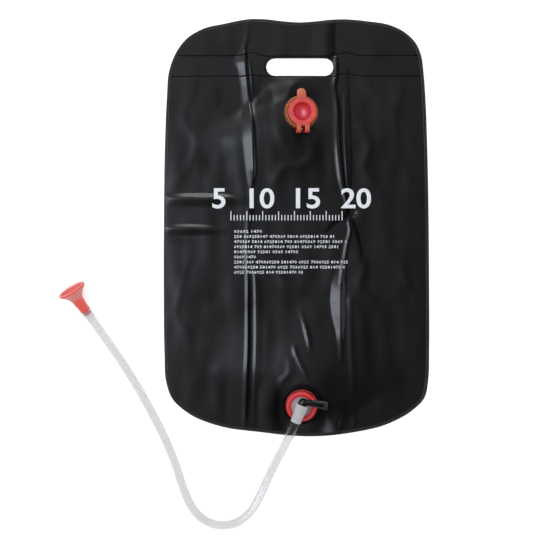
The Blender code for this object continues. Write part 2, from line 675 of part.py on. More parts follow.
def add_outlet():
    flanged_neck("outlet_base", OUTLET, BLACK_MOULDED, OUTLET_FLANGE_RADIUS, OUTLET_FLANGE_TOP,
                 OUTLET_NECK_RADIUS, OUTLET_NECK_TOP, OUTLET_NECK_BORE, lip=OUTLET_LIP)
    washer("outlet_gasket", OUTLET, OUTLET_NECK_RADIUS, OUTLET_NECK_BORE, GASKET_FOOT,
           GASKET_THICKNESS, WHITE_RUBBER)
    nut = ribbed("outlet_nut", NUT_RIBS, NUT_RIB_DEPTH, NUT_FOOT_RADIUS - EDGE_CHAMFER, NUT_TOP_RADIUS,
                 NUT_FOOT + NUT_FOOT_BAND / 2, NUT_TOP, OUTLET, RED_PLASTIC)
    boolean(nut, turned("nut_bore_cutter", [
        (0, NUT_TOP + OVERRUN), (NUT_OPENING_RADIUS, NUT_TOP + OVERRUN),
        (NUT_OPENING_RADIUS, NUT_PLATE_FOOT), (NUT_BORE, NUT_PLATE_FOOT),
        (NUT_BORE, NUT_FOOT - OVERRUN), (0, NUT_FOOT - OVERRUN)], OUTLET, cutter=True))
    boolean(nut, turned("nut_foot_joiner", [
        (NUT_FOOT_RADIUS, NUT_FOOT + NUT_FOOT_BAND), (NUT_FOOT_RADIUS, NUT_FOOT),
        ((NUT_BORE + NUT_TOP_RADIUS) / 2, NUT_FOOT),
        ((NUT_BORE + NUT_TOP_RADIUS) / 2, NUT_FOOT + NUT_FOOT_BAND)], OUTLET, cutter=True, ring=True),
        "UNION")
    shade_smooth(nut)

    tail_radius = OUTLET_NECK_BORE - 2 * CLEARANCE
    tail_foot = DISC_FOOT - TAP_TAIL_LENGTH
    riser_top = BARREL_HEIGHT - PLUG_RADIUS / 2
    body = turned("tap_body", [
        (0, riser_top), (RISER_RADIUS, riser_top), (RISER_RADIUS, DISC_TOP + RISER_FILLET),
        (RISER_RADIUS + RISER_FILLET, DISC_TOP), (DISC_RADIUS, DISC_TOP), (DISC_RADIUS, DISC_FOOT),
        (tail_radius, DISC_FOOT), (tail_radius, tail_foot), (0, tail_foot)],
        OUTLET, material=MILKY_PLASTIC)
    on_axis = Matrix.Translation((0, 0, BARREL_HEIGHT)) @ ALONG_X
    boolean(body, turned("barrel_joiner", [
        (0, BARREL_DOWN), (BARREL_MOUTH_RADIUS - EDGE_CHAMFER, BARREL_DOWN),
        (BARREL_MOUTH_RADIUS, BARREL_DOWN - EDGE_CHAMFER),
        (BARREL_TOP_RADIUS, EDGE_CHAMFER - BARREL_UP),
        (BARREL_TOP_RADIUS - EDGE_CHAMFER, -BARREL_UP), (0, -BARREL_UP)],
        OUTLET, on_axis, cutter=True), "UNION")
    boolean(body, turned("riser_bore_cutter", [
        (0, BARREL_HEIGHT), (TAP_BORE, BARREL_HEIGHT), (TAP_BORE, DISC_FOOT),
        (TAP_TAIL_BORE, DISC_FOOT), (TAP_TAIL_BORE, tail_foot - OVERRUN), (0, tail_foot - OVERRUN)],
        OUTLET, cutter=True, steps=SMALL_TURN_STEPS))
    socket = PLUG_RADIUS + CLEARANCE
    socket_end = PLUG_REACH + 2 * CLEARANCE
    boolean(body, turned("barrel_bore_cutter", [
        (0, BARREL_DOWN + OVERRUN), (TAP_BORE, BARREL_DOWN + OVERRUN), (TAP_BORE, socket_end),
        (socket, socket_end), (socket, -BARREL_UP - OVERRUN), (0, -BARREL_UP - OVERRUN)],
        OUTLET, on_axis, cutter=True, steps=SMALL_TURN_STEPS))

    hub_top = -BARREL_UP - CLEARANCE
    hub = [(HUB_RADIUS * wide, hub_top - HUB_LENGTH * deep) for wide, deep in HUB_PROFILE_SHARES]
    lever = turned("tap_lever", [
        (0, PLUG_REACH - PLUG_BORE_DEPTH), (PLUG_BORE, PLUG_REACH - PLUG_BORE_DEPTH),
        (PLUG_BORE, PLUG_REACH), (PLUG_RADIUS, PLUG_REACH), (PLUG_RADIUS, hub_top)] + hub,
        TAP_AXIS, ALONG_X, BLACK_MOULDED, steps=SMALL_TURN_STEPS)
    boolean(lever, cylinder("port_cutter", PORT_RADIUS, 0, OVERRUN, TAP_AXIS, ALONG_Y,
                            steps=SMALL_TURN_STEPS))
    boolean(lever, lever_arm(hub_top), "UNION")


def lever_arm(hub_top):
    """The flat arm, from the middle of the hub out to its tip, wider at the tip."""
    mesh = bpy.data.meshes.new("arm_joiner")
    shape = bmesh.new()
    bmesh.ops.create_cube(shape, size=1)
    for vertex in shape.verts:
        outer = vertex.co.y > 0
        wide = ARM_TIP_WIDTH if outer else ARM_ROOT_WIDTH
        vertex.co = (vertex.co.x * wide, ARM_REACH if outer else 0, vertex.co.z * ARM_THICKNESS)
    shape.to_mesh(mesh)
    shape.free()
    place = (Matrix.Translation((hub_top - HUB_LENGTH / 2, 0, 0))
             @ Matrix.Rotation(ARM_SWEEP, 4, "Z"))
    arm = add_object("arm_joiner", mesh, TAP_AXIS, place, cutter=True)
    edge = arm.modifiers.new("edge", "BEVEL")
    edge.width = ARM_BEVEL
    edge.segments = 2
    return arm


# Hose and shower head

HEAD_AXIS = Vector((math.cos(HEAD_HEADING) * math.cos(HEAD_LEAN),
                    math.sin(HEAD_HEADING) * math.cos(HEAD_LEAN), math.sin(HEAD_LEAN)))


def add_hose():
    mouth = OUTLET_MATRIX @ Vector((BARREL_DOWN + CLEARANCE, 0, BARREL_HEIGHT))
    stub = OUTLET_MATRIX @ Vector((BARREL_DOWN + CLEARANCE + HOSE_STUB, 0, BARREL_HEIGHT))
    end = Vector(HEAD_PLACE)
    route = smooth_line([mouth, stub] + [Vector(place) for place in HOSE_ROUTE]
                        + [end - HEAD_AXIS * HOSE_STUB, end], HOSE_ROUTE_STEPS)
    curve = bpy.data.curves.new("hose", "CURVE")
    curve.dimensions = "3D"
    curve.bevel_depth = HOSE_RADIUS
    curve.bevel_resolution = 3
    curve.use_fill_caps = True
    kept = [mouth, stub]
    travelled = 0
    for before, after in zip(route, route[1:]):
        travelled += (after - before).length
        clear = min((after - stub).length, (after - mouth).length, (after - end).length)
        if travelled >= HOSE_POINT_SPACING and clear > HOSE_STUB + HOSE_POINT_SPACING / 2:
            kept.append(after)
            travelled = 0
    kept += [end - HEAD_AXIS * HOSE_STUB, end]
    spline = curve.splines.new("POLY")
    spline.points.add(len(kept) - 1)
    for point, place in zip(spline.points, kept):
        point.co = (*place, 1)
    add_object("hose", curve, material=CLEAR_HOSE)


def add_head():
    start = Vector(HEAD_PLACE) + HEAD_AXIS * CLEARANCE
    turn = HEAD_AXIS.to_track_quat("Z", "Y").to_matrix().to_4x4()
    head = add_frame("head_frame", Matrix.Translation(start) @ turn)
    rose_front = HEAD_LENGTH - ROSE_SET_BACK
    rose_back = rose_front - ROSE_THICKNESS
    ledge = rose_back - CLEARANCE
    pocket = ROSE_RADIUS + CLEARANCE
    outer = [(HEAD_RIM_RADIUS * wide, HEAD_LENGTH * high) for wide, high in HEAD_OUTER_SHARES]
    funnel = [(HEAD_STEM_BORE, 0)] + [(HEAD_RIM_RADIUS * wide, HEAD_LENGTH * high)
                                      for wide, high in HEAD_FUNNEL_SHARES]
    inner = funnel + [(pocket - ROSE_LEDGE, ledge), (pocket, ledge), (pocket, HEAD_LENGTH)]
    turned("head_body", outer + inner, head, material=CORAL_PLASTIC, ring=True)
    rose = turned("head_rose", [(0, rose_front), (ROSE_RADIUS, rose_front), (ROSE_RADIUS, rose_back),
                                (0, rose_back)], head, material=CORAL_PLASTIC)
    mesh = bpy.data.meshes.new("rose_holes_cutter")
    shape = bmesh.new()
    for ring in range(ROSE_HOLE_RINGS + 1):
        count = max(1, ROSE_HOLES_PER_RING * ring)
        for i in range(count):
            angle = math.tau * i / count
            spot = (ring * ROSE_HOLE_PITCH * math.cos(angle), ring * ROSE_HOLE_PITCH * math.sin(angle),
                    rose_front)
            bmesh.ops.create_cone(shape, cap_ends=True, segments=ROSE_HOLE_SIDES,
                                  radius1=ROSE_HOLE_RADIUS, radius2=ROSE_HOLE_RADIUS, depth=OVERRUN,
                                  matrix=Matrix.Translation(spot))
    shape.to_mesh(mesh)
    shape.free()
    boolean(rose, add_object("rose_holes_cutter", mesh, head, cutter=True))


add_panels()
add_filler()
add_outlet()
add_hose()
add_head()
bpy.context.view_layer.update()
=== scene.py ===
"""The looks of a camp shower bag: glossy welded film, moulded fittings, a clear hose and a shower head.

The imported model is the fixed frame. Everything is in metres, the bag lies on z = 0 with its hand slot
towards +Y, and each piece stands where the frame has it.
"""

import json
import math

import bmesh
import bpy
import numpy as np
from bpy.props import FloatProperty, FloatVectorProperty, IntProperty, PointerProperty
from bpy.types import Operator, Panel, PropertyGroup
from mathutils import Matrix, Vector, noise
from mathutils.bvhtree import BVHTree


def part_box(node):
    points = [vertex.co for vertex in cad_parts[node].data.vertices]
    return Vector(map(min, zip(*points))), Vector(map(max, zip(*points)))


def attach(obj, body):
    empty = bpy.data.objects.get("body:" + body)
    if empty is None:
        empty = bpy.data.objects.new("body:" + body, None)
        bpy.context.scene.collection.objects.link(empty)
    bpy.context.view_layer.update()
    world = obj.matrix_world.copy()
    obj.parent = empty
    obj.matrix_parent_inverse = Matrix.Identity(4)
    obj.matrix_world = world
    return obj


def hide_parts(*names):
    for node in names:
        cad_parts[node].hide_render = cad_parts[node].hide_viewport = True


bl_info = {
    "name": "Camp shower bag",
    "version": (1, 0, 0),
    "blender": (4, 5, 0),
    "location": "View3D > Sidebar > Shower bag",
    "description": "Builds the finished pieces of a camp shower bag round its packed frame",
    "category": "Object",
}

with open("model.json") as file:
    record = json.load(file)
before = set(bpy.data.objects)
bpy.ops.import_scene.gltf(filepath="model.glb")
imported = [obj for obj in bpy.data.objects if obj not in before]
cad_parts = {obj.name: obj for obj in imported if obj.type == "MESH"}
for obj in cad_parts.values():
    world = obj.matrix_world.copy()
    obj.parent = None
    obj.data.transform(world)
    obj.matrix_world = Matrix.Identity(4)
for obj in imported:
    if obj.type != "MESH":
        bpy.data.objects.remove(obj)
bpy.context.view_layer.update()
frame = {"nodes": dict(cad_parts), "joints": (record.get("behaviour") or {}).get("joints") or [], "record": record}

# The photograph: metres on the bag's plane for each pixel, and the pixel over the origin
PHOTO_SCALE = 0.0015
PHOTO_SIZE = 560
PHOTO_ORIGIN = (296.5, 227.75)
CAMERA_HEIGHT = 3.0
SENSOR_WIDTH = 36.0

MM = 0.001
MERGE = 1e-6
SMOOTH_ANGLE = math.radians(38)
# A length beyond any on the bag
FAR = 9.0
# A rounding takes at most an edge's length divided by this, so that two never meet
ROUNDING_PARTS = 2.1


# Frames of the two fittings, from the model's joints

def joint(name):
    return next(j for j in frame["joints"] if j["name"] == name)


def joint_frame(upright, across):
    """A frame on one joint's place and axis, with x along another joint's axis."""
    z = Vector(upright["axis"]).normalized()
    x = Vector(across["axis"])
    x = (x - z * x.dot(z)).normalized()
    made = Matrix((x, z.cross(x), z)).transposed().to_4x4()
    made.translation = upright["pos_m"]
    return made


def local_points(node, matrix):
    """The vertices of a node of the model, in a frame's own coordinates."""
    inverse = matrix.inverted()
    return [inverse @ vertex.co for vertex in frame["nodes"][node].data.vertices]


def off_axis(point):
    """How far a point stands off its frame's z."""
    return math.hypot(point.x, point.y)


def bore_of(points):
    """How near points come to their frame's z."""
    return min(off_axis(p) for p in points)


def reach(points):
    """How far points stand off their frame's z, and their lowest and highest z."""
    heights = [p.z for p in points]
    return max(off_axis(p) for p in points), min(heights), max(heights)


FILLER = joint_frame(joint("collar_turn"), joint("cap_hinge"))
OUTLET = joint_frame(joint("nut_turn"), joint("tap_turn"))
HINGE = FILLER.inverted() @ Vector(joint("cap_hinge")["pos_m"])
TAP = OUTLET.inverted() @ Vector(joint("tap_turn")["pos_m"])


def photo_place(x, y):
    """Where a pixel of the photograph lies on the bag's plane."""
    return Vector(((x - PHOTO_ORIGIN[0]) * PHOTO_SCALE, (PHOTO_ORIGIN[1] - y) * PHOTO_SCALE))


# Sizes and colours that a user may change

def srgb(red, green, blue):
    """A colour as it is seen on a screen, from 0 to 255, as Blender's linear values."""
    made = []
    for value in (red, green, blue):
        value /= 255
        made.append(value / 12.92 if value <= 0.04045 else ((value + 0.055) / 1.055) ** 2.4)
    return tuple(made)


def colour_property(name, description, *value):
    return FloatVectorProperty(name=name, description=description, subtype="COLOR", size=3, min=0, max=1,
                               default=srgb(*value))


def number_property(name, description, value, unit="NONE", precision=2):
    return FloatProperty(name=name, description=description, default=value, min=0, unit=unit,
                         precision=precision)


def length_property(name, description, value):
    return number_property(name, description, value, "LENGTH", 5)


class FilmSettings(PropertyGroup):
    cell: length_property("Cell", "Spacing of the film's mesh across the bag", 0.0027)
    row_cell: length_property("Row cell", "Spacing of the film's mesh along the bag", 0.0030)
    crease_cell: length_property("Crease cell", "Spacing of the mesh across the two long creases", 0.0011)
    band_cell: length_property("Band cell", "Spacing of the mesh across the two short bands", 0.0017)
    weld_cell: length_property("Weld cell", "Spacing of the mesh across the header welds", 0.0008)
    back_cell: length_property("Back cell", "Spacing of the back film's mesh", 0.0070)
    thickness: length_property("Thickness", "Thickness of one film", 0.0005)
    pillow: length_property("Pillow", "How far the drained bag still stands up in its middle", 0.0015)
    wave: length_property("Wave", "Height of the film's soft waves", 0.0008)
    black: colour_property("Black", "Colour of the film", 14, 13, 14)
    # The weld colour also paints shade along the film's fold lines and in dark patches.
    weld: colour_property("Weld", "Colour of the film's welds and of its black lines", 4, 4, 5)
    # The dusty grey, lightened twofold, also paints sheen by the lower rim and highlights along the rim's bead.
    grey: colour_property("Grey", "Colour of the film where it is dusty", 58, 57, 60)


class PrintSettings(PropertyGroup):
    numeral_height: length_property("Numeral height", "Height of the large numerals", 0.0305)
    tick_height: length_property("Tick height", "Height of the long marks of the scale", 0.0140)
    tick_count: IntProperty(name="Ticks", description="Number of marks on the scale", default=36, min=2)
    white: colour_property("White", "Colour of the print", 226, 228, 232)


class HoseSettings(PropertyGroup):
    radius: length_property("Radius", "Outer radius of the hose", 0.0065)
    bore: length_property("Bore", "Inner radius of the hose", 0.0047)
    clear: colour_property("Clear", "Colour of the hose", 227, 226, 225)


class FittingSettings(PropertyGroup):
    amber: colour_property("Amber", "Colour of the filler's ring", 206, 98, 40)
    # Painted shade: between the ribs, on the ring's side away from the light, in the hinge and on ribs behind the
    # legs
    amber_painted_shade: colour_property("Amber shade", "Colour between the ribs of the filler's ring", 84, 20, 12)
    # Painted highlight on the ribs, weaker on the side away from the light
    amber_painted_light: colour_property("Amber light", "Colour of the ribs of the filler's ring", 242, 150, 88)
    coral: colour_property("Coral", "Colour of the cap and the shower head", 222, 82, 76)
    crimson: colour_property("Crimson", "Colour of the cap's sunk plug", 206, 24, 58)
    peach: colour_property("Peach", "Colour of the cap's thin tab", 196, 108, 76)
    # Also painted shade over the upper side of the cap's sunk plug
    foot_red: colour_property("Foot red", "Colour of the cap's hinge feet", 200, 44, 38)
    head: colour_property("Head", "Colour of the shower head's stem and face", 240, 98, 86)
    # The bell colour also paints light on the spigot, inside the hose
    bell: colour_property("Bell", "Colour of the shower head's thin bell", 236, 136, 126)
    # The pale also paints a glint on the cap's sunk plug, and light on the head's lip and its spigot
    pale: colour_property("Pale", "Colour of the shower head's lip", 244, 186, 178)
    red: colour_property("Red", "Colour of the ring nut", 228, 40, 50)
    # Painted shade on the nut's skirt and its ribs
    red_painted_shade: colour_property("Red shade", "Colour of the ring nut's knurled skirt", 150, 8, 16)
    # Painted highlight along the nut's top edge and foot rim
    red_edge_highlight: colour_property("Red light", "Colour of the ring nut's outer edge", 240, 116, 104)
    milky: colour_property("Milky", "Colour of the tap", 190, 189, 189)
    # Painted red light from the nut, on the tap's disc
    rosy: colour_property("Rosy", "Colour of the tap's disc, which the red nut tints", 176, 154, 164)
    black: colour_property("Black", "Colour of the black mouldings", 10, 10, 11)
    # Painted highlights along the lever arm's edges
    black_edge_highlight: colour_property("Black edge", "Colour of the lever's worn edges", 120, 124, 122)
    ring_steps: IntProperty(name="Steps", description="Steps round a turned piece", default=96, min=16)


class StageSettings(PropertyGroup):
    floor: colour_property("Floor", "Colour of the floor", 236, 236, 236)
    glow: number_property("Glow", "How far the floor is lifted towards white", 0.45)
    left_power: number_property("Left lamp", "Strength of the left soft box", 25, "POWER")
    right_power: number_property("Right lamp", "Strength of the low right soft box", 10, "POWER")
    top_power: number_property("Top lamp", "Strength of the soft box beyond the slot", 12, "POWER")
    fill: number_property("Fill", "Light from all round on plain surfaces", 0.60)


# Curves and profiles

def smooth_step(value):
    value = np.clip(value, 0, 1)
    return value * value * (3 - 2 * value)


def tangent(before, here, after):
    """Direction of a smooth curve at a point, which the nearer of its neighbours sets more."""
    back = (here - before).length
    ahead = (after - here).length
    return ((here - before) / back * ahead + (after - here) / ahead * back) / (back + ahead)


def smooth_line(points, steps, closed=False):
    """Points on a smooth curve through the given ones."""
    points = [Vector(p) for p in points]
    if closed:
        padded = [points[-1]] + points + [points[0], points[1]]
        spans = len(points)
    else:
        padded = [points[0] * 2 - points[1]] + points + [points[-1] * 2 - points[-2]]
        spans = len(points) - 1
    made = []
    for i in range(spans):
        before, start, end, after = padded[i:i + 4]
        leave = tangent(before, start, end) * (end - start).length
        arrive = tangent(start, end, after) * (end - start).length
        for step in range(steps):
            t = step / steps
            bend = t * t * (3 - 2 * t)
            made.append(start * (1 - bend) + end * bend
                        + leave * t * (1 - t) * (1 - t) - arrive * t * t * (1 - t))
    if not closed:
        made.append(points[-1])
    return made


def softened(profile, radius, steps=4, ring=False):
    """A profile whose corners are rounded, each by at most the radius."""
    points = [Vector(p) for p in profile]
    made = []
    for i, here in enumerate(points):
        if not ring and i in (0, len(points) - 1):
            made.append(here)
            continue
        before = points[i - 1]
        after = points[(i + 1) % len(points)]
        back = before - here
        ahead = after - here
        start = here + back.normalized() * min(radius, back.length / ROUNDING_PARTS)
        end = here + ahead.normalized() * min(radius, ahead.length / ROUNDING_PARTS)
        for step in range(steps + 1):
            t = step / steps
            made.append(start * (1 - t) ** 2 + here * 2 * t * (1 - t) + end * t * t)
    return made


def arc(center, radius, start, end, count):
    """Points along an arc, angles in radians."""
    return [(center[0] + radius * math.cos(start + (end - start) * i / (count - 1)),
             center[1] + radius * math.sin(start + (end - start) * i / (count - 1)))
            for i in range(count)]


# Meshes

def lathe(shape, profile, edge, steps, place=None, ring=False, edge_steps=4):
    """Turns a profile of (radius, height) round z, with its edges rounded; it runs down its outer side."""
    place = place or Matrix.Identity(4)
    rings = []
    for radius, height in softened(profile, edge, edge_steps, ring):
        if radius < MERGE:
            rings.append([shape.verts.new(place @ Vector((0, 0, height)))])
            continue
        rings.append([shape.verts.new(place @ Vector((radius * math.cos(math.tau * i / steps),
                                                      radius * math.sin(math.tau * i / steps), height)))
                      for i in range(steps)])
    pairs = list(zip(rings, rings[1:]))
    if ring:
        pairs.append((rings[-1], rings[0]))
    for upper, lower in pairs:
        for i in range(steps):
            k = (i + 1) % steps
            corners = [upper[i % len(upper)], lower[i % len(lower)], lower[k % len(lower)],
                       upper[k % len(upper)]]
            kept = [v for n, v in enumerate(corners) if v not in corners[:n]]
            if len(kept) > 2:
                shape.faces.new(kept)


def prism(shape, outline, low, high, edge, place=None):
    """Adds an outline of (x, y), raised from z = low to z = high, with its edges rounded."""
    part = bmesh.new()
    foot = [part.verts.new((x, y, low)) for x, y in outline]
    head = [part.verts.new((x, y, high)) for x, y in outline]
    part.faces.new(list(reversed(foot)))
    part.faces.new(head)
    for i in range(len(outline)):
        k = (i + 1) % len(outline)
        part.faces.new([foot[i], foot[k], head[k], head[i]])
    bmesh.ops.recalc_face_normals(part, faces=part.faces)
    bmesh.ops.bevel(part, geom=part.edges, offset=edge, segments=2, profile=0.5, affect="EDGES",
                    clamp_overlap=True)
    if place:
        bmesh.ops.transform(part, matrix=place, verts=part.verts)
    add_shape(shape, part)


def add_shape(shape, part):
    """Adds one bmesh to another, and frees it."""
    mesh = bpy.data.meshes.new("part")
    part.to_mesh(mesh)
    part.free()
    shape.from_mesh(mesh)
    bpy.data.meshes.remove(mesh)


def tube(shape, points, radii, sides, wall=0.0):
    """A tube along points, with a radius at each; with a wall it is hollow from end to end."""
    frames = ring_frames(points)

    def add_ring(k, radius):
        side, up = frames[k]
        return [shape.verts.new(points[k] + (side * math.cos(math.tau * i / sides)
                                             + up * math.sin(math.tau * i / sides)) * radius)
                for i in range(sides)]
    rings = [add_ring(k, radius) for k, radius in enumerate(radii)]
    if wall:
        rings += [add_ring(k, radii[k] - wall) for k in reversed(range(len(points)))]
    pairs = list(zip(rings, rings[1:]))
    if wall:
        pairs.append((rings[-1], rings[0]))
    for here, following in pairs:
        for i in range(sides):
            k = (i + 1) % sides
            shape.faces.new([here[i], here[k], following[k], following[i]])
    if not wall:
        shape.faces.new(list(reversed(rings[0])))
        shape.faces.new(rings[-1])


def ring_frames(points):
    """Two directions square to a line at each of its points, carried along without a twist."""
    made = []
    side = None
    for i, point in enumerate(points):
        ahead = (points[min(i + 1, len(points) - 1)] - points[max(i - 1, 0)]).normalized()
        if side is None:
            side = ahead.orthogonal()
        side = (side - ahead * side.dot(ahead)).normalized()
        made.append((side, ahead.cross(side)))
    return made


def finish_mesh(shape, name, matrix=None):
    """A bmesh as a mesh, moved from a fitting's frame and shaded smooth but for its sharp edges."""
    if matrix:
        bmesh.ops.transform(shape, matrix=matrix, verts=shape.verts)
    mesh = bpy.data.meshes.new(name)
    shape.to_mesh(mesh)
    shape.free()
    mesh.shade_smooth()
    mesh.set_sharp_from_angle(angle=SMOOTH_ANGLE)
    return mesh


def mark(mesh, name, values):
    """Stores a number for each vertex, for a material to read."""
    attribute = mesh.attributes.new(name, "FLOAT", "POINT")
    attribute.data.foreach_set("value", np.array(values, np.float32))


def places_of(shape):
    return [v.co.copy() for v in shape.verts]


def link_object(name, data):
    """A new object in the scene."""
    made = bpy.data.objects.new(name, data)
    bpy.context.scene.collection.objects.link(made)
    return made


def evaluated_mesh(carrier):
    """The mesh that an object's text or modifiers make. The object is removed."""
    bpy.context.view_layer.update()
    mesh = bpy.data.meshes.new_from_object(carrier.evaluated_get(bpy.context.evaluated_depsgraph_get()))
    bpy.data.objects.remove(carrier)
    return mesh


def add_piece(name, mesh, body, slot, material, *nodes):
    """Links a finished mesh as a piece that moves with a body and stands for nodes of the model."""
    piece = link_object(name, mesh)
    mesh.materials.clear()
    mesh.materials.append(material)
    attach(piece, body)
    if nodes:
        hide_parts(*nodes)
    return piece


# Nodes

def feed(tree, node, inputs):
    """Sets a node's inputs: a socket, or the first output of a node, is linked, and a value is set."""
    for label, value in inputs.items():
        value = getattr(value, "outputs", [value])[0]
        if hasattr(value, "is_output"):
            tree.links.new(value, node.inputs[label])
        else:
            node.inputs[label].default_value = value


def add_node(tree, kind, inputs=(), **settings):
    """A new node with its settings and its inputs."""
    node = tree.nodes.new(kind)
    for label, value in settings.items():
        setattr(node, label, value)
    feed(tree, node, dict(inputs))
    return node


def maths(tree, operation, first, second):
    """A maths node on two numbers or sockets, and its result."""
    return add_node(tree, "ShaderNodeMath", {0: first, 1: second}, operation=operation).outputs[0]


# Geometry node trees

RIB_SIDES = 8
PLATE_SIDES = 96
HOLE_SIDES = 12
HOLE_RINGS = 3
SHORT_TICK = 0.58


def new_tree(name, *sockets):
    """An empty geometry tree with named inputs, and the sockets that give them."""
    tree = bpy.data.node_groups.new(name, "GeometryNodeTree")
    tree.is_modifier = True
    for label, kind in (("Geometry", "Geometry"), *sockets, ("Material", "Material")):
        tree.interface.new_socket(label, in_out="INPUT", socket_type="NodeSocket" + kind)
    tree.interface.new_socket("Geometry", in_out="OUTPUT", socket_type="NodeSocketGeometry")
    return tree, tree.nodes.new("NodeGroupInput").outputs


def end_tree(tree, given, geometry):
    """Ends a tree in real meshes with a material."""
    real = add_node(tree, "GeometryNodeRealizeInstances", {0: geometry})
    paint = add_node(tree, "GeometryNodeSetMaterial", {"Geometry": real, "Material": given["Material"]})
    add_node(tree, "NodeGroupOutput", {0: paint})
    return tree


def moved(tree, geometry, setting, **parts):
    """Geometry that a transform's Translation or Rotation moves by a vector of the given parts."""
    vector = add_node(tree, "ShaderNodeCombineXYZ", parts)
    return add_node(tree, "GeometryNodeTransform", {"Geometry": geometry, setting: vector})


def grow(tree, name, values):
    """The mesh that a tree makes from the given inputs."""
    carrier = link_object(name + "_carrier", bpy.data.meshes.new(name + "_carrier"))
    modifier = carrier.modifiers.new("grow", "NODES")
    modifier.node_group = tree
    for item in tree.interface.items_tree:
        if item.in_out == "INPUT" and item.name in values:
            modifier[item.identifier] = values[item.name]
    mesh = evaluated_mesh(carrier)
    mesh.name = name
    return mesh


def rib_tree():
    """Ribs that stand round a ring, each leaning by the same slope."""
    tree, given = new_tree("Ring of ribs", ("Count", "Int"), ("Radius", "Float"), ("Height", "Float"),
                           ("Length", "Float"), ("Rib radius", "Float"), ("Slope", "Float"))
    circle = add_node(tree, "GeometryNodeMeshCircle", {"Vertices": given["Count"], "Radius": given["Radius"]})
    rib = add_node(tree, "GeometryNodeMeshCylinder", {
        "Vertices": RIB_SIDES, "Radius": given["Rib radius"], "Depth": given["Length"]})
    place = add_node(tree, "GeometryNodeInputPosition")
    flat = add_node(tree, "ShaderNodeVectorMath", {0: place, 1: (1, 1, 0)}, operation="MULTIPLY")
    turn = add_node(tree, "FunctionNodeAlignEulerToVector", {"Vector": flat}, axis="X", pivot_axis="Z")
    spread = add_node(tree, "GeometryNodeInstanceOnPoints", {
        "Points": moved(tree, circle, "Translation", Z=given["Height"]),
        "Instance": moved(tree, rib, "Rotation", Y=given["Slope"]), "Rotation": turn})
    return end_tree(tree, given, spread)


def rose_tree():
    """A round plate with rings of holes, six more in each ring."""
    tree, given = new_tree("Perforated plate", ("Radius", "Float"), ("Thickness", "Float"),
                           ("Pitch", "Float"), ("Hole radius", "Float"))
    plate = add_node(tree, "GeometryNodeMeshCylinder", {
        "Vertices": PLATE_SIDES, "Radius": given["Radius"], "Depth": given["Thickness"]})
    drill = add_node(tree, "GeometryNodeMeshCylinder", {
        "Vertices": HOLE_SIDES, "Radius": given["Hole radius"],
        "Depth": maths(tree, "MULTIPLY", given["Thickness"], 3.0)})
    places = add_node(tree, "GeometryNodeJoinGeometry")
    for ring in range(1, HOLE_RINGS + 1):
        radius = maths(tree, "MULTIPLY", given["Pitch"], ring)
        circle = add_node(tree, "GeometryNodeMeshCircle", {"Vertices": 6 * ring, "Radius": radius})
        feed(tree, places, {0: circle})
    feed(tree, places, {0: add_node(tree, "GeometryNodeMeshLine", {"Count": 1})})
    spread = add_node(tree, "GeometryNodeInstanceOnPoints", {"Points": places, "Instance": drill})
    real = add_node(tree, "GeometryNodeRealizeInstances", {0: spread})
    cut = add_node(tree, "GeometryNodeMeshBoolean", {"Mesh 1": plate, "Mesh 2": real},
                   operation="DIFFERENCE")
    return end_tree(tree, given, cut)


def tick_tree():
    """A row of upright marks along x, with a taller one at every fifth place."""
    tree, given = new_tree("Row of marks", ("Count", "Int"), ("Spacing", "Float"), ("Width", "Float"),
                           ("Height", "Float"))
    step = add_node(tree, "ShaderNodeCombineXYZ", {"X": given["Spacing"]})
    line = add_node(tree, "GeometryNodeMeshLine", {"Count": given["Count"], "Offset": step})
    stroke = add_node(tree, "GeometryNodeMeshGrid", {
        "Vertices X": 2, "Vertices Y": 2, "Size X": given["Width"], "Size Y": given["Height"]})
    lifted = moved(tree, stroke, "Translation", Y=maths(tree, "MULTIPLY", given["Height"], 0.5))
    index = add_node(tree, "GeometryNodeInputIndex").outputs[0]
    fifth = maths(tree, "LESS_THAN", maths(tree, "MODULO", index, 5.0), 0.5)
    tall = maths(tree, "ADD", maths(tree, "MULTIPLY", fifth, 1 - SHORT_TICK), SHORT_TICK)
    size = add_node(tree, "ShaderNodeCombineXYZ", {"X": 1, "Y": tall, "Z": 1})
    spread = add_node(tree, "GeometryNodeInstanceOnPoints", {
        "Points": line, "Instance": lifted, "Scale": size})
    return end_tree(tree, given, spread)


# Shader groups

NOISE_ROUGHNESS = 0.55
# Dust lies where slow noise of this scale is above this value
DUSTY_SCALE = 14.0
DUSTY_ABOVE = 0.56


def shader_group(name, inputs, output):
    """An empty shader group with number inputs, the sockets that give them, and the coordinates."""
    group = bpy.data.node_groups.new(name, "ShaderNodeTree")
    for label, value in inputs.items():
        socket = group.interface.new_socket(label, in_out="INPUT", socket_type="NodeSocketFloat")
        socket.default_value = value
    group.interface.new_socket(output, in_out="OUTPUT", socket_type="NodeSocketFloat")
    given = group.nodes.new("NodeGroupInput").outputs
    return group, given, group.nodes.new("ShaderNodeTexCoord").outputs["Object"]


def end_group(group, value):
    add_node(group, "NodeGroupOutput", {0: value})
    return group


def noise_node(tree, place, scale, detail):
    return add_node(tree, "ShaderNodeTexNoise", {
        "Vector": place, "Scale": scale, "Detail": detail, "Roughness": NOISE_ROUGHNESS}).outputs["Fac"]


def grain_group():
    """Height of a moulded or rolled surface: fine grain over a slower ripple."""
    group, given, place = shader_group("Surface grain", {
        "Fine scale": 900.0, "Ripple scale": 90.0, "Ripple share": 0.4}, "Height")
    fine = noise_node(group, place, given["Fine scale"], 2.0)
    ripple = noise_node(group, place, given["Ripple scale"], 1.0)
    ripple = maths(group, "MULTIPLY", ripple, given["Ripple share"])
    return end_group(group, maths(group, "ADD", fine, ripple))


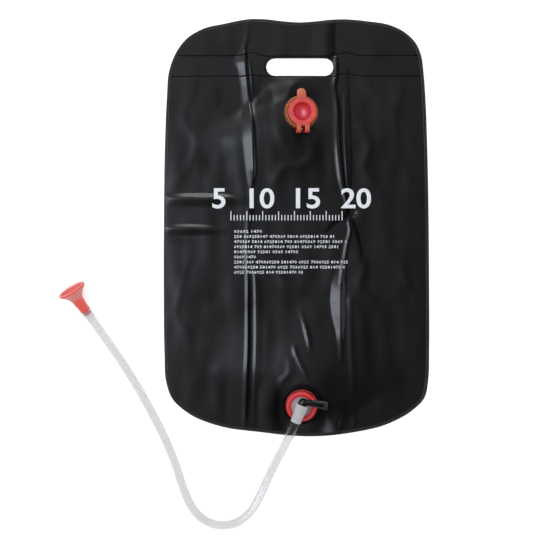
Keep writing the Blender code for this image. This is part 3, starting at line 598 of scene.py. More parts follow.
def mottle_group():
    """A slow mask, from 0 to 1, for uneven colour and gloss."""
    group, given, place = shader_group("Mottle", {"Scale": 40.0, "Low": 0.35, "High": 0.7}, "Mask")
    cloud = noise_node(group, place, given["Scale"], 4.0)
    return end_group(group, add_node(group, "ShaderNodeMapRange", {
        "Value": cloud, "From Min": given["Low"], "From Max": given["High"]}))


def dust_group():
    """A mask of scattered specks of dust."""
    group, given, place = shader_group("Dust specks", {"Scale": 120.0, "Size": 0.05}, "Mask")
    cells = add_node(group, "ShaderNodeTexVoronoi", {"Vector": place, "Scale": given["Scale"]})
    near = maths(group, "LESS_THAN", cells.outputs["Distance"], given["Size"])
    some = maths(group, "GREATER_THAN", noise_node(group, place, DUSTY_SCALE, 2.0), DUSTY_ABOVE)
    return end_group(group, maths(group, "MULTIPLY", near, some))


GROUP_MAKERS = {"Surface grain": grain_group, "Mottle": mottle_group, "Dust specks": dust_group}


# Materials

# Relief: the scales of the fine grain and of the ripple, the ripple's share, and the depth
FILM_GRAIN = (700.0, 60.0, 1.6, 0.00007)
PRINT_GRAIN = (1500.0, 200.0, 0.5, 0.00003)
MOULDED_GRAIN = (1100.0, 180.0, 0.8, 0.00003)
# Uneven patches: their scale, and the noise at which they begin and are whole
FILM_MOTTLE = (9.0, 0.35, 0.75)
PRINT_MOTTLE = (420.0, 0.58, 0.80)
MOULDED_MOTTLE = (130.0, 0.35, 0.75)
HOSE_MOTTLE = (60.0, 0.3, 0.8)
# How far light runs inside glowing plastic, and how each of its colours shares in that
GLOW_LENGTH = 0.004
GLOW_SHARES = (1.0, 0.35, 0.25)


def use_group(tree, name, values):
    """Places a shader group in a material's tree with its own values, and gives its output."""
    group = bpy.data.node_groups.get(name) or GROUP_MAKERS[name]()
    return add_node(tree, "ShaderNodeGroup", values, node_tree=group).outputs[0]


def mottle(tree, scale, low, high):
    return use_group(tree, "Mottle", {"Scale": scale, "Low": low, "High": high})


def add_grain(tree, shader, fine, ripple, share, depth):
    """Gives a material the relief of a moulded or rolled surface."""
    height = use_group(tree, "Surface grain", {
        "Fine scale": fine, "Ripple scale": ripple, "Ripple share": share})
    feed(tree, shader, {"Normal": add_node(tree, "ShaderNodeBump", {"Height": height, "Distance": depth})})


def mix_colour(tree, share, first, second):
    """A mix of two colours or sockets."""
    first, second = (value if hasattr(value, "is_output") else (*value, 1) for value in (first, second))
    return add_node(tree, "ShaderNodeMix", {0: share, 6: first, 7: second}, data_type="RGBA").outputs[2]


def times(colour, share):
    return tuple(share * part for part in colour)


def scaled(tree, share, low, high):
    """A mask from 0 to 1 turned into a value from low to high."""
    return add_node(tree, "ShaderNodeMapRange", {"Value": share, "To Min": low, "To Max": high}).outputs[0]


def attribute_mask(tree, name):
    """The number that a mesh stores for each vertex under a name."""
    return add_node(tree, "ShaderNodeAttribute", attribute_name=name).outputs["Fac"]


def new_material(name, **constants):
    """A material whose plain values are set on its shader."""
    material = bpy.data.materials.new(name)
    material.use_nodes = True
    shader = material.node_tree.nodes["Principled BSDF"]
    for label, value in constants.items():
        shader.inputs[label.replace("_", " ")].default_value = value
    return material, material.node_tree, shader


def film_material(settings):
    """Black film: a dull body under a clear gloss, which its black places, welds and painted shade, lack."""
    material, tree, shader = new_material("glossy_film", Specular_IOR_Level=0.1, Coat_Roughness=0.2,
                                          Coat_IOR=1.5)
    cloud = mottle(tree, *FILM_MOTTLE)
    dust = use_group(tree, "Dust specks", {"Scale": 160.0, "Size": 0.045})
    # The black places: welds, and painted shade along fold lines and in patches
    black = attribute_mask(tree, "black")
    body = mix_colour(tree, cloud, settings.black, times(settings.black, 0.7))
    body = mix_colour(tree, dust, body, settings.grey)
    # Painted sheen and highlights: a lighter grey where this mark is
    body = mix_colour(tree, attribute_mask(tree, "worn"), body, times(settings.grey, 2))
    gloss = maths(tree, "MULTIPLY", scaled(tree, cloud, 1.0, 0.75), maths(tree, "SUBTRACT", 1.0, black))
    feed(tree, shader, {"Base Color": mix_colour(tree, black, body, settings.weld),
                        "Roughness": scaled(tree, cloud, 0.35, 0.50), "Coat Weight": gloss})
    add_grain(tree, shader, *FILM_GRAIN)
    return material


def print_material(settings):
    material, tree, shader = new_material("white_print", Roughness=0.42)
    worn = mottle(tree, *PRINT_MOTTLE)
    feed(tree, shader, {"Base Color": mix_colour(tree, worn, settings.white, times(settings.white, 0.55))})
    add_grain(tree, shader, *PRINT_GRAIN)
    return material


def moulded_material(name, colour, shade=0.75, roughness=0.28, glow=0.0, gloss=0.15, level=0.5, **marks):
    """Moulded plastic; marks names the attributes that tint it in places, each with its colour."""
    material, tree, shader = new_material(name, Roughness=roughness, Coat_Weight=gloss,
                                          Coat_Roughness=0.12, Specular_IOR_Level=level)
    if glow:
        feed(tree, shader, {"Subsurface Weight": glow, "Subsurface Radius": GLOW_SHARES,
                            "Subsurface Scale": GLOW_LENGTH})
    painted = mix_colour(tree, mottle(tree, *MOULDED_MOTTLE), colour, times(colour, shade))
    for label, tint in marks.items():
        painted = mix_colour(tree, attribute_mask(tree, label), painted, tint)
    feed(tree, shader, {"Base Color": painted})
    add_grain(tree, shader, *MOULDED_GRAIN)
    return material


def hose_material(settings):
    """Clear tubing, which bends light little: a glossy skin that tints, and a bore that doesn't."""
    material, tree, shader = new_material("clear_tube", IOR=1.05, Transmission_Weight=1.0, Coat_Weight=1.0,
                                          Coat_Roughness=0.06, Coat_IOR=1.5, Sheen_Weight=0.5,
                                          Sheen_Roughness=0.25)
    cloud = mottle(tree, *HOSE_MOTTLE)
    skin = mix_colour(tree, cloud, settings.clear, times(settings.clear, 0.97))
    # Painted shade: the skin is darker where it is seen edge on
    rim = add_node(tree, "ShaderNodeLayerWeight", {"Blend": 0.35}).outputs["Facing"]
    skin = mix_colour(tree, rim, skin, times(settings.clear, 0.80))
    shadow = add_node(tree, "ShaderNodeLightPath").outputs["Is Shadow Ray"]
    feed(tree, shader, {
        "Base Color": mix_colour(tree, attribute_mask(tree, "bore"), skin, (0.99, 0.99, 0.99)),
        "Alpha": scaled(tree, shadow, 1.0, 0.2), "Roughness": scaled(tree, cloud, 0.02, 0.05)})
    return material


# Film: the outline comes from the model, and the folds follow the photograph

REST_HEIGHT = 0.0013
FITTING_SEAT_MARGIN = 0.004
FITTING_BLEND = 0.135
FOLD_CLEARANCE = 0.020
FOLD_STEPS = 5
# How many reaches off its line a round fold or a line of painted shade ends, and how strongly that shade is drawn
ROUND_END = 3
LINE_STRENGTH = 1.25
# The share of the waves that the header keeps, and the share of a fitting's blend that is left where the
# room to the end of the film is the first length; the whole blend is there at the second
HEADER_WAVES = 0.35
END_BLEND = 0.33
END_ROOM = (0.02, 0.10)
# Soft waves: their lengths across and along, a place in the noise, and their share of the height
WAVES = ((0.024, 0.090, 3.1, 1.0), (0.026, 0.032, 7.7, 0.6))
FILLER_HOLE = 0.0170
OUTLET_HOLE = 0.0140

# Folds: how much of a flank bends at its crest and at its foot, then points along the crest. Each is a pixel
# of the photograph, the height there in millimetres, and the reach in pixels to the right hand and to the
# left hand of someone who walks along the fold. Where it runs down the picture, the right hand is its left.
FOLDS = {
    "left crease": (0.12, 0.55, [
        (248, 19, 0.5, 6, 4), (247, 38, 0.7, 6, 4), (244.5, 50, 1.2, 6, 3), (245, 56, 3.1, 12, 2.5),
        (245.5, 62, 3.9, 15, 3), (246, 69, 2.9, 11.5, 3), (247.5, 85, 1.9, 9, 3), (249, 100, 1.9, 9.5, 4),
        (252, 125, 2.2, 11, 4.5), (252.5, 140, 2.4, 11, 4.5), (253, 155, 2.6, 10.5, 4.5),
        (253.5, 170, 2.9, 9.5, 4.5), (253, 178, 1.8, 8, 4), (252, 186, 0.6, 6, 4), (250, 200, 0.4, 5, 4),
        (248, 228, 0.5, 5, 4), (247, 250, 0.8, 4.2, 4), (247.8, 275, 1.25, 4, 3),
        (247.8, 305, 1.25, 3.8, 3), (247.4, 355, 1.2, 3.8, 3), (246.2, 380, 1.1, 4, 3),
        (245.5, 400, 0.95, 4.5, 3), (245, 415, 0.7, 4.5, 3), (244, 432, 0.5, 4, 3)]),
    "left crease's second ridge, upper": (0.12, 0.55, [
        (249.5, 62, 0.6, 2, 3), (251.5, 85, 0.6, 2.5, 5), (251.5, 100, 0.5, 2.5, 5)]),
    "left crease's second ridge, lower": (0.12, 0.55, [
        (254, 268, 0.3, 2.4, 7), (255, 280, 0.75, 2.4, 7), (255.5, 305, 0.7, 2.2, 7),
        (255.3, 355, 0.6, 2.2, 7), (254.5, 380, 0.55, 2.2, 7), (254, 400, 0.4, 2.2, 6),
        (253.5, 425, 0.3, 2.2, 6)]),
    "right crease": (0.12, 0.55, [
        (336.5, 58, 1.5, 5, 2.5), (336.5, 66, 1.2, 5, 2.5), (336.2, 75, 2.1, 6, 2.5), (334.5, 84, 0.8, 5, 3),
        (335, 92, 0.4, 5, 3), (337, 105, 1.1, 6, 2.5), (337.5, 120, 1.0, 6, 2.5), (337.3, 135, 1.25, 6, 2.5),
        (338, 150, 1.55, 6, 2.5), (339.3, 165, 1.75, 5.6, 2.5), (341.3, 180, 1.7, 5.4, 2.5),
        (345, 195, 1.2, 4.5, 2.5), (347.5, 207, 0.8, 3.5, 2.5)]),
    "right crease's second ridge": (0.12, 0.55, [
        (344.5, 95, 0.3, 2.2, 5), (344.5, 120, 0.4, 2, 5), (344.5, 135, 0.5, 2, 5.5),
        (345, 150, 0.55, 2, 5.5), (346, 165, 0.65, 2, 5), (347, 180, 0.6, 2, 4), (350, 205, 0.4, 2, 3)]),
    "header, right": (0.2, 0.2, [(327, 18, 1.6, 16, 11), (327, 54, 1.6, 16, 11), (329, 60, 0.6, 8, 8)]),
    "ridge above the right band": (0.12, 0.55, [
        (348.7, 222, 0.8, 2.5, 2.5), (350, 230, 1.0, 3, 3), (347, 245, 1.3, 4.5, 3), (345, 258, 1.3, 5, 3),
        (343, 270, 1.1, 5, 3), (341, 282, 0.6, 4, 3)]),
    "lower right band": (0.12, 0.15, [
        (343, 262, 0.5, 4, 4), (342, 275, 1.4, 8, 5),
        (341.6, 285, 2.8, 11.8, 5), (340.8, 300, 4.5, 11.8, 5), (340.8, 315, 3.8, 9.9, 5),
        (340.8, 330, 2.3, 6.3, 4), (341, 345, 1.1, 4.6, 4), (341, 360, 0.4, 3, 3)]),
    "left band, upper": (0.2, 0.2, [
        (158, 198.3, 2.6, 10, 6.5), (185, 198.3, 2.85, 10, 6.5), (205, 198.5, 2.7, 10, 6.5),
        (222, 198.5, 2.2, 9, 6), (243, 199.5, 0.6, 8, 5)]),
    "left band, lower": (0.2, 0.2, [
        (158, 229, 2.3, 8, 6), (176, 228.3, 2.7, 8, 6), (190, 228.3, 2.5, 8, 6), (205, 228.8, 1.9, 7, 5.5),
        (222, 231, 0.5, 6, 5)]),
    "above the outlet, upper": (0.12, 0.55, [
        (300, 310, 0.4, 3, 3), (303.5, 320, 1.0, 3, 3), (306, 328, 1.6, 4, 3), (308, 336, 1.9, 4.2, 3),
        (309.5, 344, 1.3, 3.5, 3), (310.5, 352, 0.4, 3, 3)]),
    "above the outlet, lower": (0.12, 0.55, [
        (294, 345, 0.6, 3, 3), (295.5, 352, 1.6, 3.5, 3), (298, 358, 1.1, 3.5, 3), (300.5, 364, 1.1, 3.2, 3),
        (304, 371, 1.1, 3, 3), (308, 379, 0.9, 3, 3)]),
    "right of the outlet": (0.15, 0.2, [
        (340, 410, 0.5, 6, 4), (337, 422, 3.6, 9, 5), (334, 432, 7.0, 11, 5)]),
}
# Soft folds, round across: the same table
SOFT_FOLDS = {
    "left winding ridge": [
        (197, 70, 0.2, 7, 7), (192, 92, 0.38, 7, 5), (184, 116, 0.45, 6, 4), (196, 141, 0.46, 6, 4),
        (190, 163, 0.45, 6, 4), (172, 188, 0.3, 6, 6)],
    "left low winding ridge": [
        (192, 244, 0.2, 6, 6), (186, 268, 0.36, 5, 4), (181, 290, 0.4, 5, 4), (177, 318, 0.45, 5, 3.5),
        (188, 334, 0.4, 5, 4), (189, 362, 0.25, 6, 6)],
    "left low band": [(162, 292, 0.48, 5, 7), (168, 312, 0.72, 5, 6), (163, 344, 0.48, 6, 6),
                      (166, 380, 0.3, 6, 6)],
    "left of the outlet": [(279, 396, 0.6, 5, 3.5), (281, 384, 0.84, 5, 3.5), (289, 374, 0.78, 5, 3.5),
                           (290, 362, 0.42, 4, 4)],
    "right lower band": [(346, 398, 0.54, 8, 7), (362, 414, 1.08, 8, 7), (382, 424, 0.54, 8, 7)],
    "right winding, upper": [(366, 78, 0.45, 7, 5), (372, 92, 0.9, 7, 5), (390, 108, 0.72, 7, 5)],
    "right winding, middle": [(362, 128, 0.63, 6, 4), (369, 146, 0.99, 6, 4), (364, 168, 0.81, 6, 4),
                              (380, 190, 0.54, 6, 5)],
    "right winding, far": [(400, 90, 0.45, 8, 5), (394, 120, 0.99, 8, 5), (398, 150, 0.9, 8, 5),
                           (408, 178, 0.45, 8, 6)],
    "right lower slant": [(402, 268, 0.45, 5, 4), (408, 284, 1.17, 5, 4), (416, 300, 0.45, 5, 4)],
    "right lower blob": [(358, 256, 0.54, 6, 6), (364, 268, 1.08, 6, 4), (360, 286, 0.9, 5, 5),
                         (371, 300, 0.54, 6, 6)],
    "right lower line": [(352, 300, 0.45, 6, 5), (364, 330, 0.81, 7, 5), (366, 366, 0.63, 7, 6)],
    "middle arc": [(276, 180, 0.45, 6, 5), (284, 168, 0.9, 6, 5), (300, 166, 0.9, 6, 4),
                   (312, 154, 0.81, 6, 5), (306, 134, 0.45, 7, 5)],
    "beside the filler": [(272, 92, 0.45, 6, 5), (281, 112, 0.81, 6, 4), (283, 140, 0.81, 6, 4),
                          (290, 150, 0.45, 6, 5)],
    "below the print": [(276, 268, 0.45, 7, 5), (284, 282, 0.9, 6, 4), (298, 290, 0.63, 6, 5)],
    "middle low swell": [(262, 300, 0.36, 8, 7), (266, 330, 0.9, 8, 6), (262, 372, 0.54, 8, 7)],
    "header, left": [(204, 26, 0.36, 7, 6), (206, 50, 0.81, 8, 6)],
    "header, second left": [(226, 24, 0.45, 6, 5), (228, 40, 0.72, 7, 5), (230, 54, 0.45, 6, 5)],
    "header, middle": [(281, 28, 0.36, 8, 7), (282, 50, 0.72, 8, 7)],
    "right long ridge": [(350, 300, 0.5, 3, 3), (351, 345, 0.7, 3, 3), (353, 385, 0.8, 3, 3),
                         (354, 425, 0.9, 3, 3)],
    "header, far right": [(372, 32, 0.36, 10, 8), (374, 52, 0.63, 10, 8)],
}
# Painted shade along lines where the film folds on itself: pixels, how black, and reaches, as above
PAINTED_SHADE_LINES = {
    "left crease, header": [(246, 53, 0.9, 1.2, 1.2), (246.8, 62, 0.7, 1.2, 1.2), (247, 70, 0.8, 1.5, 1.5),
                            (248.5, 85, 0.5, 1.3, 1.3), (248.5, 100, 0.2, 1, 1)],
    "left crease, lower": [(250, 280, 0.3, 1.5, 1.5), (250, 292, 0.8, 1.9, 1.9), (250, 305, 1, 2.3, 2.3),
                           (250, 355, 1, 2.3, 2.3), (249, 380, 1, 2.3, 2.3), (248.3, 400, 1, 2.1, 2.1),
                           (247.3, 415, 0.8, 1.8, 1.8), (247, 425, 0.3, 1.5, 1.5)],
    "right crease": [(338, 64, 0.5, 1.3, 1.3), (338, 75, 0.9, 1.4, 1.4), (337, 84, 0.5, 1.5, 1.5),
                     (337, 92, 0.4, 1.5, 1.5), (339.3, 105, 0.9, 1.4, 1.4), (340.2, 120, 1, 1.8, 1.8),
                     (340.2, 135, 0.8, 1.5, 1.5), (340.6, 150, 0.9, 1.7, 1.7), (342, 165, 1, 1.8, 1.8),
                     (344, 180, 1, 2, 2), (346.6, 198, 1, 1.8, 1.8), (348, 212, 1, 2.2, 2.2)],
    "right crease's line": [(347.2, 68, 0.5, 1, 1), (348.5, 90, 0.6, 1.1, 1.1), (349.3, 105, 0.7, 1.2, 1.2),
                            (350, 120, 0.7, 1.3, 1.3), (350.5, 135, 0.6, 1.2, 1.2),
                            (351.3, 150, 0.7, 1.2, 1.2), (351.5, 165, 0.7, 1.2, 1.2),
                            (351, 180, 0.6, 1.2, 1.2), (350.5, 205, 0.4, 1, 1)],
    "star, down left": [(347, 214, 1, 2.6, 2.6), (343, 218, 1, 3, 2.6), (338, 220.5, 1, 2.6, 2.2),
                        (331, 226, 1, 2.6, 2), (326.5, 231, 0.9, 2, 1.7)],
    "star, down right": [(350, 215, 0.9, 2.2, 2.2), (353, 222, 0.9, 2.2, 2), (356, 230, 1, 2.6, 2),
                         (359, 240, 0.9, 2.4, 1.8), (361, 252, 0.8, 1.8, 1.6), (360, 262, 0.3, 1.5, 1.5)],
    "left crease, print": [(251, 203, 0.1, 1.3, 1.3), (253.4, 213, 0.8, 1.7, 1.7), (252, 222, 0.3, 1.3, 1.3)],
    "header, right": [(334, 12, 0.6, 5, 1.6), (334, 54, 0.6, 5, 1.6)],
    "right of the left crease": [(259, 78, 0.25, 3, 5), (260, 120, 0.4, 3, 5), (260, 160, 0.4, 3, 5),
                                 (259, 186, 0.3, 3, 5)],
    "right of the left crease, lower": [(261, 280, 0.3, 3, 4), (261, 305, 0.6, 3.4, 4),
                                        (261, 350, 0.6, 3.4, 4), (260, 385, 0.4, 3, 4)],
    "left of the outlet": [(276, 378, 0.3, 5, 4), (277, 395, 0.75, 6, 4.5), (276, 415, 0.85, 7, 4.5),
                           (279, 430, 0.5, 7, 6)],
    "right of the outlet": [(326, 398, 0.2, 3, 4), (324, 408, 0.7, 4, 5), (317, 418, 0.7, 5, 5),
                            (312, 428, 0.3, 5, 4)],
    "round the outlet": [(285.5, 404, 0.4, 2.2, 2.2), (286.5, 400, 1, 2.6, 2.6), (288, 395.5, 1, 2.6, 2.6),
                         (291, 391.5, 1, 2.6, 2.6), (295.5, 388, 1, 2.6, 2.6), (302, 386.3, 1, 2.6, 2.6),
                         (309, 388, 1, 2.6, 2.6), (314, 391.5, 1, 2.8, 2.8), (317.5, 395.5, 1, 3, 3),
                         (319.5, 400, 0.6, 2.4, 2.4)],
    "above the filler": [(301, 82, 0.45, 2.5, 2.5), (295, 86, 0.8, 3.5, 3.5), (290, 93, 0.8, 4, 4),
                         (286, 101, 0.3, 3.5, 3.5)],
    "below the filler": [(296, 134, 0.5, 4, 4), (300, 142, 0.4, 5, 5), (302, 152, 0.2, 6, 6)],
}
# Patches of painted shade: a pixel of the photograph, how black, and the reach across and along
PAINTED_SHADE_PATCHES = [
    (266, 108, 0.6, 7, 26), (281, 91, 0.86, 18, 15), (231, 113, 0.45, 13, 13), (228, 155, 0.80, 9, 20),
    (280, 83, 0.8, 15, 6), (259, 99, 0.85, 6, 12),
    (285, 372, 0.62, 7, 13), (192, 148, 0.4, 6, 14), (218, 97, 0.5, 6, 15), (209, 163, 0.5, 7, 8),
    (202, 126, 0.35, 6, 14), (170, 150, 0.3, 6, 18),
    (176, 110, 0.2, 8, 14), (222, 50, 0.25, 7, 12), (362, 122, 0.3, 6, 20), (384, 150, 0.25, 8, 12),
    (276, 150, 0.35, 5, 16), (316, 100, 0.3, 8, 8), (318, 150, 0.3, 6, 12), (292, 165, 0.25, 10, 7),
    (270, 210, 0.2, 14, 12), (200, 290, 0.3, 10, 30), (215, 380, 0.35, 8, 24), (178, 240, 0.3, 9, 5),
    (284, 330, 0.3, 10, 18), (330, 380, 0.35, 8, 14), (370, 345, 0.3, 10, 24), (400, 390, 0.25, 12, 20),
    (390, 320, 0.25, 8, 20), (250, 255, 0.1, 8, 12), (358, 215, 0.25, 6, 5), (352, 215, 0.6, 2.5, 2.5),
]
# Painted sheen by the lower rim: the same table as a line of painted shade
PAINTED_SHEEN = [(327, 417, 0.1, 1.5, 1.5), (327.5, 423, 0.5, 3, 3), (328, 431, 0.8, 6, 6)]
# Dents: a pixel of the photograph, the depth in millimetres, and the reach across and along
DENTS = [
    (352, 213, 2.2, 5, 4), (216, 96, 0.9, 7, 20), (208, 160, 0.8, 10, 14), (298, 308, 0.7, 12, 16),
    (275, 342, 0.6, 10, 24), (392, 138, 0.5, 9, 22), (396, 220, 0.6, 14, 22), (374, 346, 0.6, 11, 26),
    (212, 300, 0.6, 14, 36), (208, 385, 0.8, 7, 26), (226, 402, 0.7, 5, 22), (318, 268, 0.6, 10, 14),
    (324, 160, 0.8, 6, 22), (258, 400, 1.4, 5, 22), (286, 96, 0.6, 8, 6),
]
# Pixels between which the mesh is closer, across the creases and along the bands
CREASE_SPANS = [(238, 262), (326, 362)]
BAND_SPANS = [(236, 224), (206, 191)]
# The two welds across the header, as pixels
WELD_LINES = [
    [(150, 56), (234, 56), (244, 54.5), (252, 52.9), (259, 54.8), (268, 56.6), (330, 56.4), (339, 54.6),
     (347, 52.6), (354, 54.8), (362, 56), (440, 56)],
    [(150, 76.8), (234, 76.6), (244, 75.9), (252, 74.8), (260, 76), (270, 77), (330, 76.8),
     (338, 75.4), (346, 73.4), (354, 75.2), (362, 76.4), (440, 76.4)],
]
WELD_REACH = 0.0062
WELD_GROOVE = 0.0002
WELD_HALF = 0.0007
WELD_BEAD_OFFSET = 0.0021
WELD_BEAD_SHARE = 0.3
WELD_BLACK_END = 2.1
HEADER_WELD_Y = photo_place(0, 77)[1]
# Half of a box that holds the hand slot's corners alone, and how far the rim's stay off the slot
SLOT_BOX = (0.08, 0.025)
SLOT_MARGIN = 0.002


def rounded_hole(middle, half, radius):
    """A hole round a line along x as a function: points to signed distances and nearest places on it."""

    def distance(points):
        spine = np.stack([np.clip(points[:, 0], middle[0] - half, middle[0] + half),
                          np.full(len(points), middle[1])], 1)
        off = points - spine
        length = np.maximum(np.hypot(off[:, 0], off[:, 1]), MERGE)
        return length - radius, spine + off / length[:, None] * radius
    return distance


def slot_of_model():
    """The model's hand slot as such a function."""
    opening = next(o for o in frame["record"]["physics"]["openings"] if o["name"] == "handle_slot")
    low, high = opening["box_m"]
    middle = np.array([(low[0] + high[0]) / 2, (low[1] + high[1]) / 2])
    off = np.array([v.co[:2] for v in frame["nodes"]["back_panel"].data.vertices]) - middle
    near = off[(np.abs(off) < SLOT_BOX).all(1)]
    radius = np.abs(near[:, 1]).max()
    return rounded_hole(middle, np.abs(near[:, 0]).max() - radius, radius)


def outer_line(node):
    """The outline of a flat node seen from above, in order round the bag's middle."""
    slot = slot_of_model()
    seen = {(round(v.co.x, 6), round(v.co.y, 6)) for v in frame["nodes"][node].data.vertices}
    kept = [Vector(p) for p in seen if slot(np.array([p]))[0][0] > SLOT_MARGIN]
    return sorted(kept, key=lambda p: math.atan2(p.y, p.x))


def polygon_edge(line):
    """A closed outline as a function: signed distances, positive inside, and nearest places."""
    corners = np.array([tuple(p) for p in line])

    def distance(points):
        best = np.full(len(points), FAR)
        nearest = np.zeros_like(points)
        inside = np.zeros(len(points), bool)
        for start, end in zip(corners, np.roll(corners, -1, 0)):
            run = end - start
            along = np.clip((points - start) @ run / (run @ run), 0, 1)
            place = start + along[:, None] * run
            length = np.hypot(*(points - place).T)
            closer = length < best
            best[closer] = length[closer]
            nearest[closer] = place[closer]
            crosses = (start[1] > points[:, 1]) != (end[1] > points[:, 1])
            with np.errstate(divide="ignore", invalid="ignore"):
                at = start[0] + (points[:, 1] - start[1]) / (end[1] - start[1]) * run[0]
            inside ^= crosses & (points[:, 0] < at)
        return np.where(inside, best, -best), nearest
    return distance


def beside(points, line):
    """For each point, its nearest place along a line, in spans, and how far to the right hand it lies."""
    best = np.full(len(points), FAR)
    place = np.zeros(len(points))
    right = np.zeros(len(points))
    for i in range(len(line) - 1):
        run = line[i + 1] - line[i]
        along = np.clip((points - line[i]) @ run / (run @ run), 0, 1)
        off = points - line[i] - along[:, None] * run
        length = np.hypot(off[:, 0], off[:, 1])
        closer = length < best
        best[closer] = length[closer]
        place[closer] = i + along[closer]
        right[closer] = np.sign(run[1] * off[closer, 0] - run[0] * off[closer, 1]) * length[closer]
    return place, right


def straight_flank(share, crest, foot):
    """Height of a fold at a share of the way from crest to foot, where shares of the flank are bent."""
    share = np.clip(share, 0, 1)
    whole = 1 - (crest + foot) / 2
    run = np.where(share < crest, share ** 2 / (2 * crest),
                   np.where(share < 1 - foot, share - crest / 2, whole - (1 - share) ** 2 / (2 * foot)))
    return 1 - run / whole


def round_flank(share):
    return np.exp(-share ** 2)


def route_values(points, pixels, flank, farthest):
    """The third value of a route's points, spread to both sides by a flank as far as a count of reaches."""
    total = np.zeros(len(points))
    route = [(*photo_place(x, y), value, first * PHOTO_SCALE, second * PHOTO_SCALE)
             for x, y, value, first, second in pixels]
    line = np.array([tuple(p) for p in smooth_line([r[:2] for r in route], FOLD_STEPS)])
    widest = farthest * max(max(r[3], r[4]) for r in route)
    low, high = line.min(0) - widest, line.max(0) + widest
    near = np.all((points > low) & (points < high), axis=1)
    place, right = beside(points[near], line)
    table = np.array([r[2:] for r in route])
    spots = np.arange(len(route)) * FOLD_STEPS
    value, first, second = (np.interp(place, spots, table[:, k]) for k in range(3))
    total[near] = value * flank(np.abs(right) / np.where(right > 0, first, second))
    return total


def round_spot(points, x, y, across, along):
    """A soft spot round a pixel of the photograph, 1 in its middle, with its reach across and along."""
    off = (points - np.array(photo_place(x, y))) / (np.array([across, along]) * PHOTO_SCALE)
    return np.exp(-(off ** 2).sum(1))


def fold_heights(points):
    """What the folds and dents add to the film's height."""
    total = np.zeros(len(points))
    for crest, foot, route in FOLDS.values():
        total += MM * route_values(points, route, lambda share: straight_flank(share, crest, foot), 1)
    for route in SOFT_FOLDS.values():
        total += MM * route_values(points, route, round_flank, ROUND_END)
    for x, y, depth, across, along in DENTS:
        total -= depth * MM * round_spot(points, x, y, across, along)
    return total


def wave_heights(points, height):
    """Soft waves that run down the film, and smaller ones across them."""
    return height * np.array([sum(share * noise.noise(Vector((x / across, y / along, place)))
                                  for across, along, place, share in WAVES) for x, y in points])


def weld_offsets(points):
    """For each header weld in turn, how far the points lie beyond it."""
    for route in WELD_LINES:
        line = np.array([tuple(photo_place(x, y)) for x, y in route])
        yield points[:, 1] - np.interp(points[:, 0], line[:, 0], line[:, 1])


def weld_heights(points):
    """The two welds across the header: each a groove with a bead below it."""
    total = np.zeros(len(points))
    for off in weld_offsets(points):
        total -= WELD_GROOVE * np.exp(-(off / WELD_HALF) ** 2)
        total += WELD_BEAD_SHARE * WELD_GROOVE * np.exp(-((off + WELD_BEAD_OFFSET) / WELD_HALF) ** 2)
    return total


def weld_and_painted_shade_mask(points):
    """How black each point looks, from 0 to 1: the header welds, and painted shade on fold lines and patches."""
    best = np.zeros(len(points))
    for off in weld_offsets(points):
        best = np.maximum(best, smooth_step(WELD_BLACK_END - np.abs(off) / WELD_HALF))
    for route in PAINTED_SHADE_LINES.values():
        line = LINE_STRENGTH * route_values(points, route, round_flank, ROUND_END)
        best = np.maximum(best, np.clip(line, 0, 1))
    for x, y, share, across, along in PAINTED_SHADE_PATCHES:
        best = np.maximum(best, share * round_spot(points, x, y, across, along))
    return best


def seat_plane(matrix, points, radius):
    """Height of a fitting's seat over each point, which stays level beyond the seat's edge."""
    normal = matrix.to_3x3() @ Vector((0, 0, 1))
    place = matrix.translation
    off = points - np.array(place[:2])
    length = np.maximum(np.hypot(off[:, 0], off[:, 1]), MERGE)
    off = off * np.minimum(1, radius / length)[:, None]
    return place.z - (normal.x * off[:, 0] + normal.y * off[:, 1]) / normal.z


def film_heights(points, settings):
    """Height of the front film's outer face over each point."""
    half_width, half_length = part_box("back_panel")[1][:2]
    share_x = points[:, 0] / half_width
    share_y = points[:, 1] / half_length
    inside = np.clip(1 - share_x ** 4 - share_y ** 4 + (share_x * share_y) ** 4, 0, 1)
    below = smooth_step((HEADER_WELD_Y - points[:, 1]) / FITTING_BLEND)
    soft = np.sqrt(inside)
    height = REST_HEIGHT + settings.pillow * inside * below
    waves = HEADER_WAVES + (1 - HEADER_WAVES) * below
    height = height + soft * waves * wave_heights(points, settings.wave)
    room = np.minimum(HEADER_WELD_Y - points[:, 1], half_length + points[:, 1])
    near_end = smooth_step((room - END_ROOM[0]) / (END_ROOM[1] - END_ROOM[0]))
    blend = FITTING_BLEND * (END_BLEND + (1 - END_BLEND) * near_end)
    clear = soft
    for matrix, node in ((FILLER, "filler_base"), (OUTLET, "outlet_base")):
        radius = reach(local_points(node, matrix))[0]
        off = np.hypot(points[:, 0] - matrix.translation.x, points[:, 1] - matrix.translation.y)
        seat = smooth_step(1 - (off - radius - FITTING_SEAT_MARGIN) / blend)
        height = height + (np.maximum(REST_HEIGHT, seat_plane(matrix, points, radius)) - height) * seat
        clear = clear * smooth_step((off - radius - FITTING_SEAT_MARGIN) / FOLD_CLEARANCE)
    return np.maximum(height + clear * fold_heights(points), REST_HEIGHT) + weld_heights(points)


def grid_lines(low, high, cell, spans=()):
    """Lines about a cell apart, from one below low to one above high.

    They are closer in the spans of (start, end, cell).
    """
    last = high + cell
    lines = [low - cell]
    while lines[-1] < last:
        here = lines[-1]
        step = next((fine for start, end, fine in spans if start <= here < end), cell)
        following = here + step
        ahead = [start for start, end, fine in spans if here < start < following]
        lines.append(min(ahead) if ahead else following)
    lines[-1] = last
    return np.array(lines)


